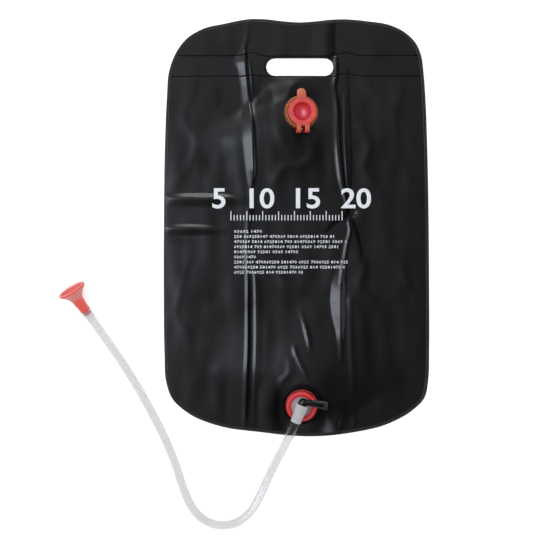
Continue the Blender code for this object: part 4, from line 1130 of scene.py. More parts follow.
def cut_sheet(columns, rows, edges):
    """A grid whose border runs along its outline and round its holes: its places and its faces."""
    grid_x, grid_y = np.meshgrid(columns, rows)
    points = np.stack([grid_x.ravel(), grid_y.ravel()], 1)
    cell = np.minimum(np.gradient(columns)[None, :], np.gradient(rows)[:, None]).ravel()
    moved_points = points.copy()
    for edge in edges:
        distance, nearest = edge(points)
        close = np.abs(distance) < 0.5 * cell
        moved_points[close] = nearest[close]
    index = np.arange(len(points)).reshape(len(rows), len(columns))
    faces = np.stack([index[:-1, :-1], index[:-1, 1:], index[1:, 1:], index[1:, :-1]], -1).reshape(-1, 4)
    middles = moved_points[faces].mean(1)
    faces = faces[np.all([edge(middles)[0] > 0 for edge in edges], axis=0)]
    count = {}
    for face in faces:
        for a, b in zip(face, np.roll(face, -1)):
            key = (min(a, b), max(a, b))
            count[key] = count.get(key, 0) + 1
    rim = sorted({v for key, times_used in count.items() if times_used == 1 for v in key})
    best = np.full(len(rim), FAR)
    target = moved_points[rim].copy()
    for edge in edges:
        distance, nearest = edge(moved_points[rim])
        closer = np.abs(distance) < best
        best[closer] = np.abs(distance)[closer]
        target[closer] = nearest[closer]
    moved_points[rim] = target
    used = np.unique(faces)
    renumber = np.full(len(points), -1)
    renumber[used] = np.arange(len(used))
    return moved_points[used], renumber[faces]


def sheet_piece(name, points, heights, faces, thickness, material, slot, *nodes):
    """A film: its outer face, with its thickness below."""
    mesh = bpy.data.meshes.new(name)
    mesh.from_pydata(np.column_stack([points, heights]).tolist(), [], faces.tolist())
    mesh.validate()
    mesh.shade_smooth()
    piece = add_piece(name, mesh, "root", slot, material, *nodes)
    thick = piece.modifiers.new("thickness", "SOLIDIFY")
    thick.thickness = thickness
    thick.offset = -1
    return piece


def sweep_ring(shape, line, profile, height_at):
    """Sweeps a profile of (inset, height) round a closed line; height_at gives the ground's height."""
    count = len(line)
    rings = []
    for i, here in enumerate(line):
        run = line[(i + 1) % count] - line[i - 1]
        inward = Vector((-run.y, run.x)).normalized()
        rings.append([here + inward * inset for inset, height in profile])
    places = np.array([tuple(p) for ring in rings for p in ring])
    ground = height_at(places)
    size = len(profile)
    made = []
    for i in range(count):
        made.append([shape.verts.new((*places[i * size + k], ground[i * size + k] + profile[k][1]))
                     for k in range(size)])
    for i in range(count):
        here, following = made[i], made[(i + 1) % count]
        for k in range(size):
            n = (k + 1) % size
            shape.faces.new([here[k], here[n], following[n], following[k]])


# Operators

# Lamps: the place, the width and length, the setting that gives the strength, and the colour
LAMPS = {
    "left_soft_box": ((-1.55, 0.10, 2.05), (0.7, 2.0), "left_power", (0.80, 0.88, 1.0)),
    "right_soft_box": ((2.40, -0.10, 1.00), (2.2, 2.2), "right_power", (1.0, 0.99, 0.97)),
    "top_soft_box": ((-0.10, 1.45, 2.15), (1.4, 0.5), "top_power", (0.95, 0.97, 1.0)),
}
# What glossy pieces mirror: the brightest side, the level away from it, and the levels and their tint for
# each cosine of the angle from it
BRIGHT_SIDE = (-0.5, 0.25, 0.83)
DARK_LEVEL = 0.04
BRIGHT_LEVELS = ((0.50, 0.03), (0.707, 0.08), (0.80, 0.175), (0.83, 0.235), (0.86, 0.30), (0.90, 0.37),
                 (0.966, 0.52), (1.0, 0.66))
BRIGHT_TINT = (0.98, 0.98, 1.04)
FLOOR_HALF = 12
FLOOR_HEIGHT = -0.0004


class SHOWER_OT_stage(Operator):
    """Makes the camera, the floor, the lamps and the light all round"""

    bl_idname = "shower.stage"
    bl_label = "Stage"

    def execute(self, context):
        settings = context.scene.shower_stage
        self.add_camera(context)
        self.add_floor(settings)
        for name, (place, sizes, power, colour) in LAMPS.items():
            self.add_lamp(name, place, sizes, getattr(settings, power), colour)
        self.light_all_round(context, settings)
        context.scene.view_settings.view_transform = "Standard"
        return {"FINISHED"}

    def add_camera(self, context):
        camera = bpy.data.cameras.new("photo_camera")
        camera.sensor_width = SENSOR_WIDTH
        camera.lens = SENSOR_WIDTH * CAMERA_HEIGHT / (PHOTO_SIZE * PHOTO_SCALE)
        made = link_object("photo_camera", camera)
        made.location = (*photo_place(PHOTO_SIZE / 2, PHOTO_SIZE / 2), CAMERA_HEIGHT)
        context.scene.camera = made

    def add_floor(self, settings):
        """A pale floor, which glows a little where the camera sees it."""
        shape = bmesh.new()
        bmesh.ops.create_grid(shape, x_segments=1, y_segments=1, size=FLOOR_HALF)
        mesh = bpy.data.meshes.new("floor")
        shape.to_mesh(mesh)
        shape.free()
        mesh.transform(Matrix.Translation((0, 0, FLOOR_HEIGHT)))
        material, tree, shader = new_material("pale_floor", Roughness=0.8, Specular_IOR_Level=0.1,
                                              Base_Color=(*settings.floor, 1))
        ray = add_node(tree, "ShaderNodeLightPath").outputs
        seen = maths(tree, "MAXIMUM", ray["Is Camera Ray"], ray["Is Transmission Ray"])
        strength = maths(tree, "MULTIPLY", seen, settings.glow)
        glow = add_node(tree, "ShaderNodeEmission", {"Strength": strength})
        both = add_node(tree, "ShaderNodeAddShader", {0: shader, 1: glow})
        feed(tree, tree.nodes["Material Output"], {"Surface": both})
        mesh.materials.append(material)
        link_object("floor", mesh)

    def add_lamp(self, name, place, sizes, power, colour):
        """A soft box that faces the bag's middle."""
        lamp = bpy.data.lights.new(name, "AREA")
        lamp.shape = "RECTANGLE"
        lamp.size, lamp.size_y = sizes
        lamp.energy = power
        lamp.color = colour
        made = link_object(name, lamp)
        made.location = place
        made.rotation_euler = (-Vector(place)).to_track_quat("-Z", "Y").to_euler()

    def light_all_round(self, context, settings):
        """White for the camera, even for plain surfaces, and for gloss brighter towards one side."""
        world = bpy.data.worlds.new("studio")
        world.use_nodes = True
        context.scene.world = world
        tree = world.node_tree
        tree.nodes.clear()
        toward = add_node(tree, "ShaderNodeVectorMath", {
            0: add_node(tree, "ShaderNodeTexCoord").outputs["Generated"],
            1: Vector(BRIGHT_SIDE).normalized()}, operation="DOT_PRODUCT")
        ramp = add_node(tree, "ShaderNodeValToRGB", {0: toward.outputs["Value"]})
        stops = ramp.color_ramp.elements
        stops.remove(stops[1])
        stops[0].color = (DARK_LEVEL, DARK_LEVEL, DARK_LEVEL, 1)
        for position, level in BRIGHT_LEVELS:
            stops.new(position).color = (*times(BRIGHT_TINT, level), 1)
        ray = add_node(tree, "ShaderNodeLightPath").outputs
        seen = maths(tree, "MAXIMUM", ray["Is Glossy Ray"], ray["Is Transmission Ray"])
        colour = mix_colour(tree, seen, (settings.fill,) * 3, ramp.outputs[0])
        colour = mix_colour(tree, ray["Is Camera Ray"], colour, (1, 1, 1))
        background = add_node(tree, "ShaderNodeBackground", {"Color": colour})
        add_node(tree, "ShaderNodeOutputWorld", {0: background})


HOSE_STUB = 0.006
HOSE_SIDES = 32
HOSE_STEPS = 6
# How far the spigot of the head widens the hose, and over which length
HOSE_SWELL = 0.0013
SWELL_LENGTH = 0.014
# The hose's route, the same points as the model's
HOSE_ROUTE = [
    (-0.0081, -0.3051, 0.0236), (-0.0152, -0.3199, 0.0194), (-0.0226, -0.3346, 0.0152),
    (-0.0301, -0.3492, 0.0116), (-0.0374, -0.3639, 0.0090), (-0.0442, -0.3788, 0.0075),
    (-0.0509, -0.3938, 0.0069), (-0.0669, -0.4225, 0.0067), (-0.0782, -0.4343, 0.0067),
    (-0.0923, -0.4425, 0.0067), (-0.1084, -0.4457, 0.0067), (-0.1246, -0.4437, 0.0067),
    (-0.1393, -0.4366, 0.0067), (-0.1512, -0.4254, 0.0067), (-0.1601, -0.4116, 0.0067),
    (-0.1722, -0.3811, 0.0067), (-0.1827, -0.3500, 0.0067), (-0.1951, -0.3196, 0.0067),
    (-0.2095, -0.2901, 0.0067), (-0.2250, -0.2611, 0.0067), (-0.2413, -0.2326, 0.0067),
    (-0.2588, -0.2048, 0.0067), (-0.2774, -0.1777, 0.0067), (-0.2964, -0.1509, 0.0067),
    (-0.3058, -0.1375, 0.0072),
]
# The head: where its stem begins, which way it points, and how far it tips up
HEAD_PLACE = Vector((-0.3153, -0.1241, 0.0112))
HEAD_HEADING = math.radians(125.4)
HEAD_LEAN = math.radians(16)
HEAD_AXIS = Vector((math.cos(HEAD_HEADING) * math.cos(HEAD_LEAN),
                    math.sin(HEAD_HEADING) * math.cos(HEAD_LEAN), math.sin(HEAD_LEAN)))
HEAD = Matrix.Translation(HEAD_PLACE) @ HEAD_AXIS.to_track_quat("Z", "Y").to_matrix().to_4x4()
# The gap between pieces that meet, the spigot's length, the lip's width, and the bell's turn and the
# shares of the head's length between which it bends
FIT_GAP = 0.0003
SPIGOT = 0.0065
LIP_WIDTH = 0.0018
HEAD_BEND = math.radians(5)
BEND_SPAN = (0.38, 0.74)


class SHOWER_OT_hose(Operator):
    """Makes the clear hose from the tap's mouth to the shower head"""

    bl_idname = "shower.hose"
    bl_label = "Hose"

    def execute(self, context):
        settings = context.scene.shower_hose
        mouth_x = max(p.x for p in local_points("tap_body", OUTLET))
        mouth = OUTLET @ Vector((mouth_x + FIT_GAP, TAP.y, TAP.z))
        stub = OUTLET @ Vector((mouth_x + FIT_GAP + HOSE_STUB, TAP.y, TAP.z))
        line = smooth_line([mouth, stub, *HOSE_ROUTE, HEAD_PLACE - HEAD_AXIS * HOSE_STUB, HEAD_PLACE],
                           HOSE_STEPS)
        radii = [settings.radius + HOSE_SWELL * smooth_step(1 - (p - HEAD_PLACE).length / SWELL_LENGTH)
                 for p in line]
        shape = bmesh.new()
        tube(shape, line, radii, HOSE_SIDES, wall=settings.radius - settings.bore)
        mesh = finish_mesh(shape, "hose_tube")
        mark(mesh, "bore", [float(i >= len(line) * HOSE_SIDES) for i in range(len(mesh.vertices))])
        piece = add_piece("hose_tube", mesh, "root", "clear_hose", hose_material(settings), "hose")
        return {"FINISHED"}


# Across the rim weld: the inset from the bag's edge, the height over the film, how black it looks, and how much
# painted highlight it takes
RIM_PROFILE = [(0.0, -0.0004, 1, 0), (-0.00005, 0.0, 1, 0), (0.0002, 0.00010, 1, 0), (0.0010, 0.00012, 1, 0),
               (0.0014, 0.00014, 0, 0.7), (0.0019, 0.00014, 0, 0.7), (0.0023, 0.00004, 1, 0),
               (0.0030, 0.00004, 1, 0), (0.0034, 0.00014, 0, 0.4), (0.0039, 0.00014, 0, 0.4),
               (0.0043, 0.00004, 0, 0), (0.0047, -0.00004, 0, 0), (0.0049, -0.00030, 0, 0)]
RIM_STEPS = 7
# What the film's operator leaves for the print's: the lines of its grid and its outer face as a tree
FILM = {}


class SHOWER_OT_film(Operator):
    """Makes the front film with its folds and welds, the back film and the weld round the rim"""

    bl_idname = "shower.film"
    bl_label = "Film"

    def execute(self, context):
        settings = context.scene.shower_film
        material = film_material(settings)
        outline = outer_line("back_panel")
        slot = slot_of_model()
        outer = polygon_edge(smooth_line(outline, 2, closed=True))
        low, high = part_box("back_panel")
        spans = [(photo_place(0, start).y, photo_place(0, end).y, settings.band_cell)
                 for start, end in BAND_SPANS]
        for route in WELD_LINES:
            heights = [photo_place(x, y)[1] for x, y in route]
            spans.append((min(heights) - WELD_REACH / 2, max(heights) + WELD_REACH / 3, settings.weld_cell))
        rows = grid_lines(low.y, high.y, settings.row_cell, sorted(spans))
        columns = grid_lines(low.x, high.x, settings.cell, [
            (photo_place(start, 0).x, photo_place(end, 0).x, settings.crease_cell)
            for start, end in CREASE_SPANS])
        holes = [rounded_hole(FILLER.translation, 0, FILLER_HOLE),
                 rounded_hole(OUTLET.translation, 0, OUTLET_HOLE)]
        points, faces = cut_sheet(columns, rows, [outer, slot, *holes])
        heights = film_heights(points, settings)
        front = sheet_piece("front_film", points, heights, faces, settings.thickness, material, "film",
                            "front_panel")
        # Welds with painted shade along fold lines and in patches, then painted sheen by the lower rim
        mark(front.data, "black", weld_and_painted_shade_mask(points))
        mark(front.data, "worn", route_values(points, PAINTED_SHEEN, round_flank, ROUND_END))
        outer_face = BVHTree.FromPolygons([Vector((*p, h)) for p, h in zip(points, heights)], faces.tolist())
        FILM.update(grid=(columns, rows), tree=outer_face)
        columns, rows = (grid_lines(low[axis], high[axis], settings.back_cell) for axis in range(2))
        points, faces = cut_sheet(columns, rows, [outer, slot])
        sheet_piece("back_film", points, np.full(len(points), settings.thickness), faces,
                    settings.thickness, material, "film", "back_panel")
        self.add_rim(outline, material, settings)
        return {"FINISHED"}

    def add_rim(self, outline, material, settings):
        """The weld round the rim: a flat edge, a fine bead, and the step down to the film."""
        line = smooth_line(outline, RIM_STEPS, closed=True)
        shape = bmesh.new()
        sweep_ring(shape, line, [row[:2] for row in RIM_PROFILE],
                   lambda places: film_heights(places, settings))
        bmesh.ops.recalc_face_normals(shape, faces=shape.faces)
        mesh = finish_mesh(shape, "rim_weld")
        mesh.shade_smooth()
        # The black weld, and painted highlights along the bead's two lines
        mark(mesh, "black", [row[2] for row in RIM_PROFILE] * len(line))
        mark(mesh, "worn", [row[3] for row in RIM_PROFILE] * len(line))
        add_piece("rim_weld", mesh, "root", "film", material)


# The print: each numeral with its middle, the foot of all, and rows of (start, end, foot), in pixels
NUMERALS = [("5", 219), ("10", 262), ("15", 308), ("20", 356)]
NUMERAL_FOOT = 208.6
SCALE_ROW = (231, 342, 220.5)
DIGIT_ROWS = [(234, 262, 233.0), (234, 334, 238.1), (234, 346, 243.2), (234, 338, 248.3),
              (234, 298, 253.4), (234, 256, 258.5), (234, 348, 263.6), (234, 345, 268.7),
              (234, 303, 273.8)]
# How bold digits are, for a size of 1, and the steps of their curves
NUMERAL_STYLE = (0.018, 5)
DIGIT_STYLE = (0.012, 1)
NUMERAL_STRETCH = 1.12
DIGIT_HEIGHT = 0.0046
DIGIT_PITCH = 2.5
WORD_LENGTHS = (5, 4, 3, 9, 6, 4, 7, 3, 8, 5, 4)
TICK_WIDTH = 0.0014
PRINT_LIFT = 0.00016
INK = 0.00006
# The height from which the print is dropped on the film
DROP_HEIGHT = 0.2


class SHOWER_OT_print(Operator):
    """Prints plain numerals, a scale and rows of small digits on the front film"""

    bl_idname = "shower.print"
    bl_label = "Print"

    def execute(self, context):
        settings = context.scene.shower_print
        material = print_material(settings)
        shape = bmesh.new()
        for text, middle in NUMERALS:
            self.add_numeral(shape, text, photo_place(middle, NUMERAL_FOOT), settings.numeral_height)
        for number, (start, end, foot) in enumerate(DIGIT_ROWS):
            self.add_digits(shape, number, start, end, foot)
        start, end, foot = SCALE_ROW
        count = settings.tick_count
        ticks = grow(tick_tree(), "ticks", {
            "Count": count, "Spacing": (end - start) * PHOTO_SCALE / (count - 1), "Width": TICK_WIDTH,
            "Height": settings.tick_height, "Material": material})
        self.add_flat(shape, ticks, Matrix.Translation((*photo_place(start, foot), 0)))
        self.drape(shape)
        mesh = finish_mesh(shape, "white_print")
        mesh.shade_smooth()
        piece = add_piece("white_print", mesh, "root", "film", material)
        thick = piece.modifiers.new("ink", "SOLIDIFY")
        thick.thickness = INK
        thick.offset = 1
        return {"FINISHED"}

    def add_flat(self, shape, mesh, matrix):
        mesh.transform(matrix)
        shape.from_mesh(mesh)
        bpy.data.meshes.remove(mesh)

    def digits_mesh(self, text, weight, steps):
        """Flat digits as a mesh, and the box round them."""
        curve = bpy.data.curves.new("digits", "FONT")
        curve.body = text
        curve.size = 1
        curve.offset = weight
        curve.resolution_u = steps
        mesh = evaluated_mesh(link_object("digits", curve))
        corners = np.array([v.co for v in mesh.vertices])
        return mesh, corners.min(0), corners.max(0)

    def add_numeral(self, shape, text, place, height):
        """A large numeral, whose foot's middle stands at a place."""
        mesh, low, high = self.digits_mesh(text, *NUMERAL_STYLE)
        size = height / (high[1] - low[1])
        self.add_flat(shape, mesh, Matrix.Translation((*place, 0))
                      @ Matrix.Diagonal((NUMERAL_STRETCH * size, size, 1, 1))
                      @ Matrix.Translation((-(low[0] + high[0]) / 2, -low[1], 0)))

    def add_digits(self, shape, number, start, end, foot):
        """One row of small digits in groups of uneven length, which spans the row."""
        count = round((end - start) / DIGIT_PITCH)
        text = ""
        turn = 2 * number
        while len(text) < count:
            length = WORD_LENGTHS[turn % len(WORD_LENGTHS)]
            text += "".join(str((turn + 3 * k) % 10) for k in range(length)) + " "
            turn += 1
        mesh, low, high = self.digits_mesh(text[:count].strip(), *DIGIT_STYLE)
        self.add_flat(shape, mesh, Matrix.Translation((*photo_place(start, foot), 0))
                      @ Matrix.Diagonal(((end - start) * PHOTO_SCALE / (high[0] - low[0]),
                                         DIGIT_HEIGHT / (high[1] - low[1]), 1, 1))
                      @ Matrix.Translation((-low[0], -low[1], 0)))

    def drape(self, shape):
        """Cuts the flat print along the film's own grid and lays it on the film."""
        for axis, lines in enumerate(FILM["grid"]):
            low = min(v.co[axis] for v in shape.verts)
            high = max(v.co[axis] for v in shape.verts)
            normal = Vector((1 - axis, axis, 0))
            for line in lines:
                if low < line < high:
                    bmesh.ops.bisect_plane(shape, geom=shape.verts[:] + shape.edges[:] + shape.faces[:],
                                           plane_co=normal * line, plane_no=normal)
        bmesh.ops.triangulate(shape, faces=shape.faces)
        for vertex in shape.verts:
            hit = FILM["tree"].ray_cast(Vector((vertex.co.x, vertex.co.y, DROP_HEIGHT)), Vector((0, 0, -1)))
            vertex.co.z = hit[0].z + PRINT_LIFT
        for face in shape.faces:
            if face.normal.z < 0:
                face.normal_flip()


# Local x to world y, y to z and z to x: an outline drawn flat then stands side on
SIDE_ON = Matrix(((0, 0, 1, 0), (1, 0, 0, 0), (0, 1, 0, 0), (0, 0, 0, 1)))
ALONG_X = Matrix.Rotation(math.pi / 2, 4, "Y")
THREAD_PITCH = 0.0025
THREAD_DEPTH = 0.0005
# A thread's own radius, the radius at its ends, its sides, its steps a turn, and one part in how many
# of its length it takes to reach its full radius
THREAD_RADIUS = 0.00055
THREAD_END = 0.00005
THREAD_SIDES = 6
THREAD_STEPS = 32
THREAD_FADE = 12
WASHER_GREY = srgb(205, 204, 198)
RIB_COUNT = 64
COLLAR_RIB = 0.0010
NUT_RIB = 0.0005
# The hinge: up to where its points reach, the radius of its bar, half of its middle knuckle, and where
# each leg of the cap starts beside that
HINGE_END = -0.010
BAR_RADIUS = 0.0012
KNUCKLE_HALF = 0.0026
LEG_START = 0.0029


def add_washer(name, node, matrix, body, material_name, edge, steps):
    """A flat washer, as its node is."""
    points = local_points(node, matrix)
    outer, foot, top = reach(points)
    bore = bore_of(points)
    shape = bmesh.new()
    lathe(shape, [(outer, top), (outer, foot), (bore, foot), (bore, top)], edge, steps, ring=True)
    material = moulded_material(material_name, WASHER_GREY, roughness=0.6)
    add_piece(name, finish_mesh(shape, name, matrix), body, "seal", material, node)


def add_thread(shape, radius, low, high):
    """A helical thread round a neck, between two heights, which fades in and out."""
    turns = (high - low) / THREAD_PITCH
    count = int(turns * THREAD_STEPS)
    points = []
    radii = []
    for i in range(count + 1):
        share = i / count
        angle = math.tau * turns * share
        points.append(Vector(((radius - THREAD_DEPTH) * math.cos(angle),
                              (radius - THREAD_DEPTH) * math.sin(angle), low + (high - low) * share)))
        begun, left = (float(smooth_step(part * THREAD_FADE)) for part in (share, 1 - share))
        radii.append(THREAD_RADIUS * begun * left + THREAD_END)
    tube(shape, points, radii, THREAD_SIDES)


def add_ribs(name, body, slot, material, matrix, marks, values):
    """Ribs round a ring, as the rib tree grows them; marks gives each mark's value at a place."""
    ribs = grow(rib_tree(), name, {"Count": RIB_COUNT, "Material": material, **values})
    for label, value in marks.items():
        mark(ribs, label, [value(v.co) for v in ribs.vertices])
    ribs.transform(matrix)
    ribs.shade_smooth()
    add_piece(name, ribs, body, slot, material)


class SHOWER_OT_filler(Operator):
    """Makes the filler: its welded neck, its seal, the ribbed ring and the hinged cap"""

    bl_idname = "shower.filler"
    bl_label = "Filler"

    def execute(self, context):
        settings = context.scene.shower_fittings
        steps = settings.ring_steps
        black = moulded_material("black_moulding", settings.black, roughness=0.34, level=0.25)
        self.add_base(black, steps)
        add_washer("filler_washer", "filler_seal", FILLER, "seal", "soft_washer", 0.0002, steps)
        self.add_collar(settings, steps)
        self.add_cap(settings, steps)
        return {"FINISHED"}

    def add_base(self, material, steps):
        points = local_points("filler_base", FILLER)
        flange, foot, top = reach(points)
        bore = bore_of(points)
        flange_top = max(p.z for p in points if off_axis(p) > 0.9 * flange)
        neck = max(off_axis(p) for p in points if p.z > flange_top + 0.002)
        shape = bmesh.new()
        lathe(shape, [(neck - THREAD_DEPTH, top), (neck - THREAD_DEPTH, flange_top), (flange, flange_top),
                      (flange, foot), (bore, foot), (bore, top)], 0.0005, steps, ring=True)
        add_thread(shape, neck, flange_top + 0.0014, top - 0.0012)
        add_piece("filler_neck", finish_mesh(shape, "filler_neck", FILLER), "root", "black_moulded",
                  material, "filler_base")

    def add_collar(self, settings, steps):
        points = [p for p in local_points("filler_collar", FILLER) if p.y > HINGE_END]
        foot_radius, foot, top = reach(points)
        top_radius = max(off_axis(p) for p in points if p.z > top - 0.0005)
        hole = bore_of(points)
        bore = bore_of(p for p in points if p.z < foot + 0.0005)
        plate = min(p.z for p in points if off_axis(p) < hole + 0.001)
        rib = COLLAR_RIB
        material = moulded_material("amber_plastic", settings.amber, roughness=0.2, glow=0.2, gloss=0.5,
                                    between=settings.amber_painted_shade, rib=settings.amber_painted_light)
        shape = bmesh.new()
        lathe(shape, [(top_radius - rib, top), (top_radius - rib, top - 0.0008),
                      (foot_radius - 1.6 * rib, foot + 0.0007), (foot_radius - 0.2 * rib, foot + 0.0006),
                      (foot_radius, foot), (bore, foot), (bore, plate), (hole, plate), (hole, top)],
              0.0005, steps, ring=True)
        # Painted shade between the ribs and on the side away from the light, and whole on the hinge's knuckle and
        # bar
        ring_painted_shade = [max(smooth_step((off_axis(p) - top_radius + 2.2 * rib) / rib) * (p.z > foot + 0.0005),
                     0.85 * self.lee(p, foot_radius)) for p in places_of(shape)]
        self.add_bar(shape)
        mesh = finish_mesh(shape, "filler_ring", FILLER)
        mark(mesh, "between", ring_painted_shade + [1.0] * (len(mesh.vertices) - len(ring_painted_shade)))
        add_piece("filler_ring", mesh, "collar", "amber", material, "filler_collar")
        rise = top - foot - 0.0010

        def behind(place):
            return place.y < 0 and abs(place.x) < 0.0036
        # Painted highlight on the ribs, weaker on the side away from the light, and painted shade on the ribs
        # behind the legs
        add_ribs("filler_ring_ribs", "collar", "amber", material, FILLER, {
            "rib": lambda place: 0.0 if behind(place) else 1 - 0.7 * self.lee(place, foot_radius),
            "between": lambda place: float(behind(place)),
        }, {
            "Radius": (top_radius + foot_radius) / 2 - 0.75 * rib, "Height": foot + 0.0006 + rise / 2,
            "Length": rise, "Rib radius": 0.0006, "Slope": -math.atan2(foot_radius - top_radius, top - foot)})

    def lee(self, place, radius):
        """How far a place on the ring lies on the side away from the light, from 0 to 1."""
        return float(smooth_step(1.3 * (0.75 * place.x - 0.66 * place.y) / radius - 0.2))

    def add_bar(self, shape):
        """The knuckle in the middle of the hinge, and the bar through it."""
        points = local_points("filler_collar", FILLER)
        radius = HINGE.y - min(p.y for p in points)
        root = HINGE.y + 0.0050
        outline = (arc((HINGE.y, HINGE.z), radius, math.pi / 2, 3 * math.pi / 2, 13)
                   + [(root, HINGE.z - radius), (root, HINGE.z + radius)])
        prism(shape, outline, -KNUCKLE_HALF, KNUCKLE_HALF, 0.0004, SIDE_ON)
        half = max(p.x for p in points if p.y < HINGE.y - 0.0005)
        bar = bmesh.new()
        lathe(bar, [(0, half), (BAR_RADIUS, half), (BAR_RADIUS, -half), (0, -half)], 0.0003, 24,
              Matrix.Translation(HINGE) @ ALONG_X)
        add_shape(shape, bar)

    def add_cap(self, settings, steps):
        """The cap: a disc with a sunk plug, a round tab on one side and two hinge legs on the other."""
        points = local_points("filler_cap", FILLER)
        top = max(p.z for p in points)
        tab_end = max(p.y for p in points)
        rim = [p for p in points if p.z > top - 0.0001 and abs(p.y) < 0.004]
        radius = max(off_axis(p) for p in rim)
        recess = bore_of(rim)
        bottom = min(p.z for p in points if off_axis(p) < recess)
        floor = bottom + 0.0011
        foot = top - 0.0016
        shape = bmesh.new()
        floor_radius = recess - 0.0024
        rings = [(0.2 * k * floor_radius, floor) for k in range(5)]
        lathe(shape, [*rings, (floor_radius, floor), (recess, top), (radius, top), (radius, foot),
                      (recess + 0.0011, foot), (recess - 0.0012, bottom), (0, bottom)], 0.0007, steps)
        if shape.calc_volume(signed=True) < 0:
            bmesh.ops.reverse_faces(shape, faces=shape.faces)
        half = max(p.x for p in points if p.y > radius + 0.003)
        inner = (recess + radius) / 2
        tab = [(-half, inner), (half, inner)] + arc((0, tab_end - half), half, 0, math.pi, 17)
        prism(shape, tab, foot + 0.0001, top + 0.0001, 0.0005)
        self.add_legs(shape, points, inner, foot, top)
        material = moulded_material("coral_cap_plastic", settings.coral, roughness=0.34, glow=0.2, gloss=0.15,
                                    sunk=settings.crimson, glint=settings.pale, shaded=settings.foot_red,
                                    thin=settings.peach)
        places = places_of(shape)
        mesh = finish_mesh(shape, "filler_cap_disc", FILLER)
        mark(mesh, "sunk", [smooth_step((recess + 0.0008 - off_axis(p)) / 0.002) for p in places])
        mark(mesh, "glint", [0.7 * math.exp(-((p.x - 0.0034) / 0.0034) ** 2 - ((p.y + 0.001) / 0.0050) ** 2)
                             * (off_axis(p) < recess - 0.0014) for p in places])
        arms = [smooth_step((p.z - top + 0.0012) / 0.0008) * (p.y < -radius) for p in places]
        # Darker red on the hinge feet, and painted shade over the upper side of the sunk plug
        mark(mesh, "shaded", [max(smooth_step((-radius - p.y) / 0.004) * (1 - arm),
                                  0.7 * smooth_step(p.y / 0.006 - 0.6) * (off_axis(p) < recess))
                              for p, arm in zip(places, arms)])
        mark(mesh, "thin", [max(smooth_step((p.y - radius + 0.0012) / 0.0025), 0.6 * arm)
                            for p, arm in zip(places, arms)])
        add_piece("filler_cap_disc", mesh, "cap", "coral", material, "filler_cap")

    def add_legs(self, shape, points, inner, foot, top):
        """The two hinge legs: an eye round the bar, a sloped shoulder and an arm to the cap."""
        radius = HINGE.y - min(p.y for p in points)
        eye = arc((HINGE.y, HINGE.z), radius, math.pi, 2 * math.pi, 13)
        outline = eye + [(HINGE.y + radius, foot + 0.0001), (-inner, foot + 0.0001), (-inner, top - 0.0001),
                         (HINGE.y + 0.0015, top - 0.0001), (HINGE.y - radius, HINGE.z + 0.0040)]
        outer = max(abs(p.x) for p in points if p.y < HINGE.y - 0.001)
        for side in (-1, 1):
            prism(shape, outline, *sorted((side * LEG_START, side * outer)), 0.0005, SIDE_ON)


# The lever: the radius of its plug and its hub, how far behind the tap's joint the hub starts, its dome as
# shares of radius and depth, how far round the lever points, how far its tip reaches, half of its
# thickness, its outline and the ridge along it
PLUG_RADIUS = 0.0050
HUB_RADIUS = 0.0072
HUB_START = 0.0068
HUB_DOME = [(1.0, 0.0), (1.0, 0.25), (0.93, 0.55), (0.72, 0.80), (0.38, 0.95), (0.0, 1.0)]
LEVER_TURN = math.radians(10.5)
LEVER_REACH = 0.0362
LEVER_HALF = 0.0016
LEVER_OUTLINE = [(-0.0042, 0.0), (0.0042, 0.0), (0.0050, 0.010), (0.0052, 0.022),
                 (0.0059, LEVER_REACH - 0.0012), (0.0047, LEVER_REACH), (-0.0047, LEVER_REACH - 0.0010),
                 (-0.0059, LEVER_REACH - 0.0030), (-0.0050, 0.022), (-0.0044, 0.010)]
LEVER_RIDGE = [(-0.0016, 0.004), (0.0016, 0.004), (0.0022, LEVER_REACH - 0.006),
               (-0.0022, LEVER_REACH - 0.006)]
BARREL = Matrix.Translation((0, 0, TAP.z)) @ ALONG_X


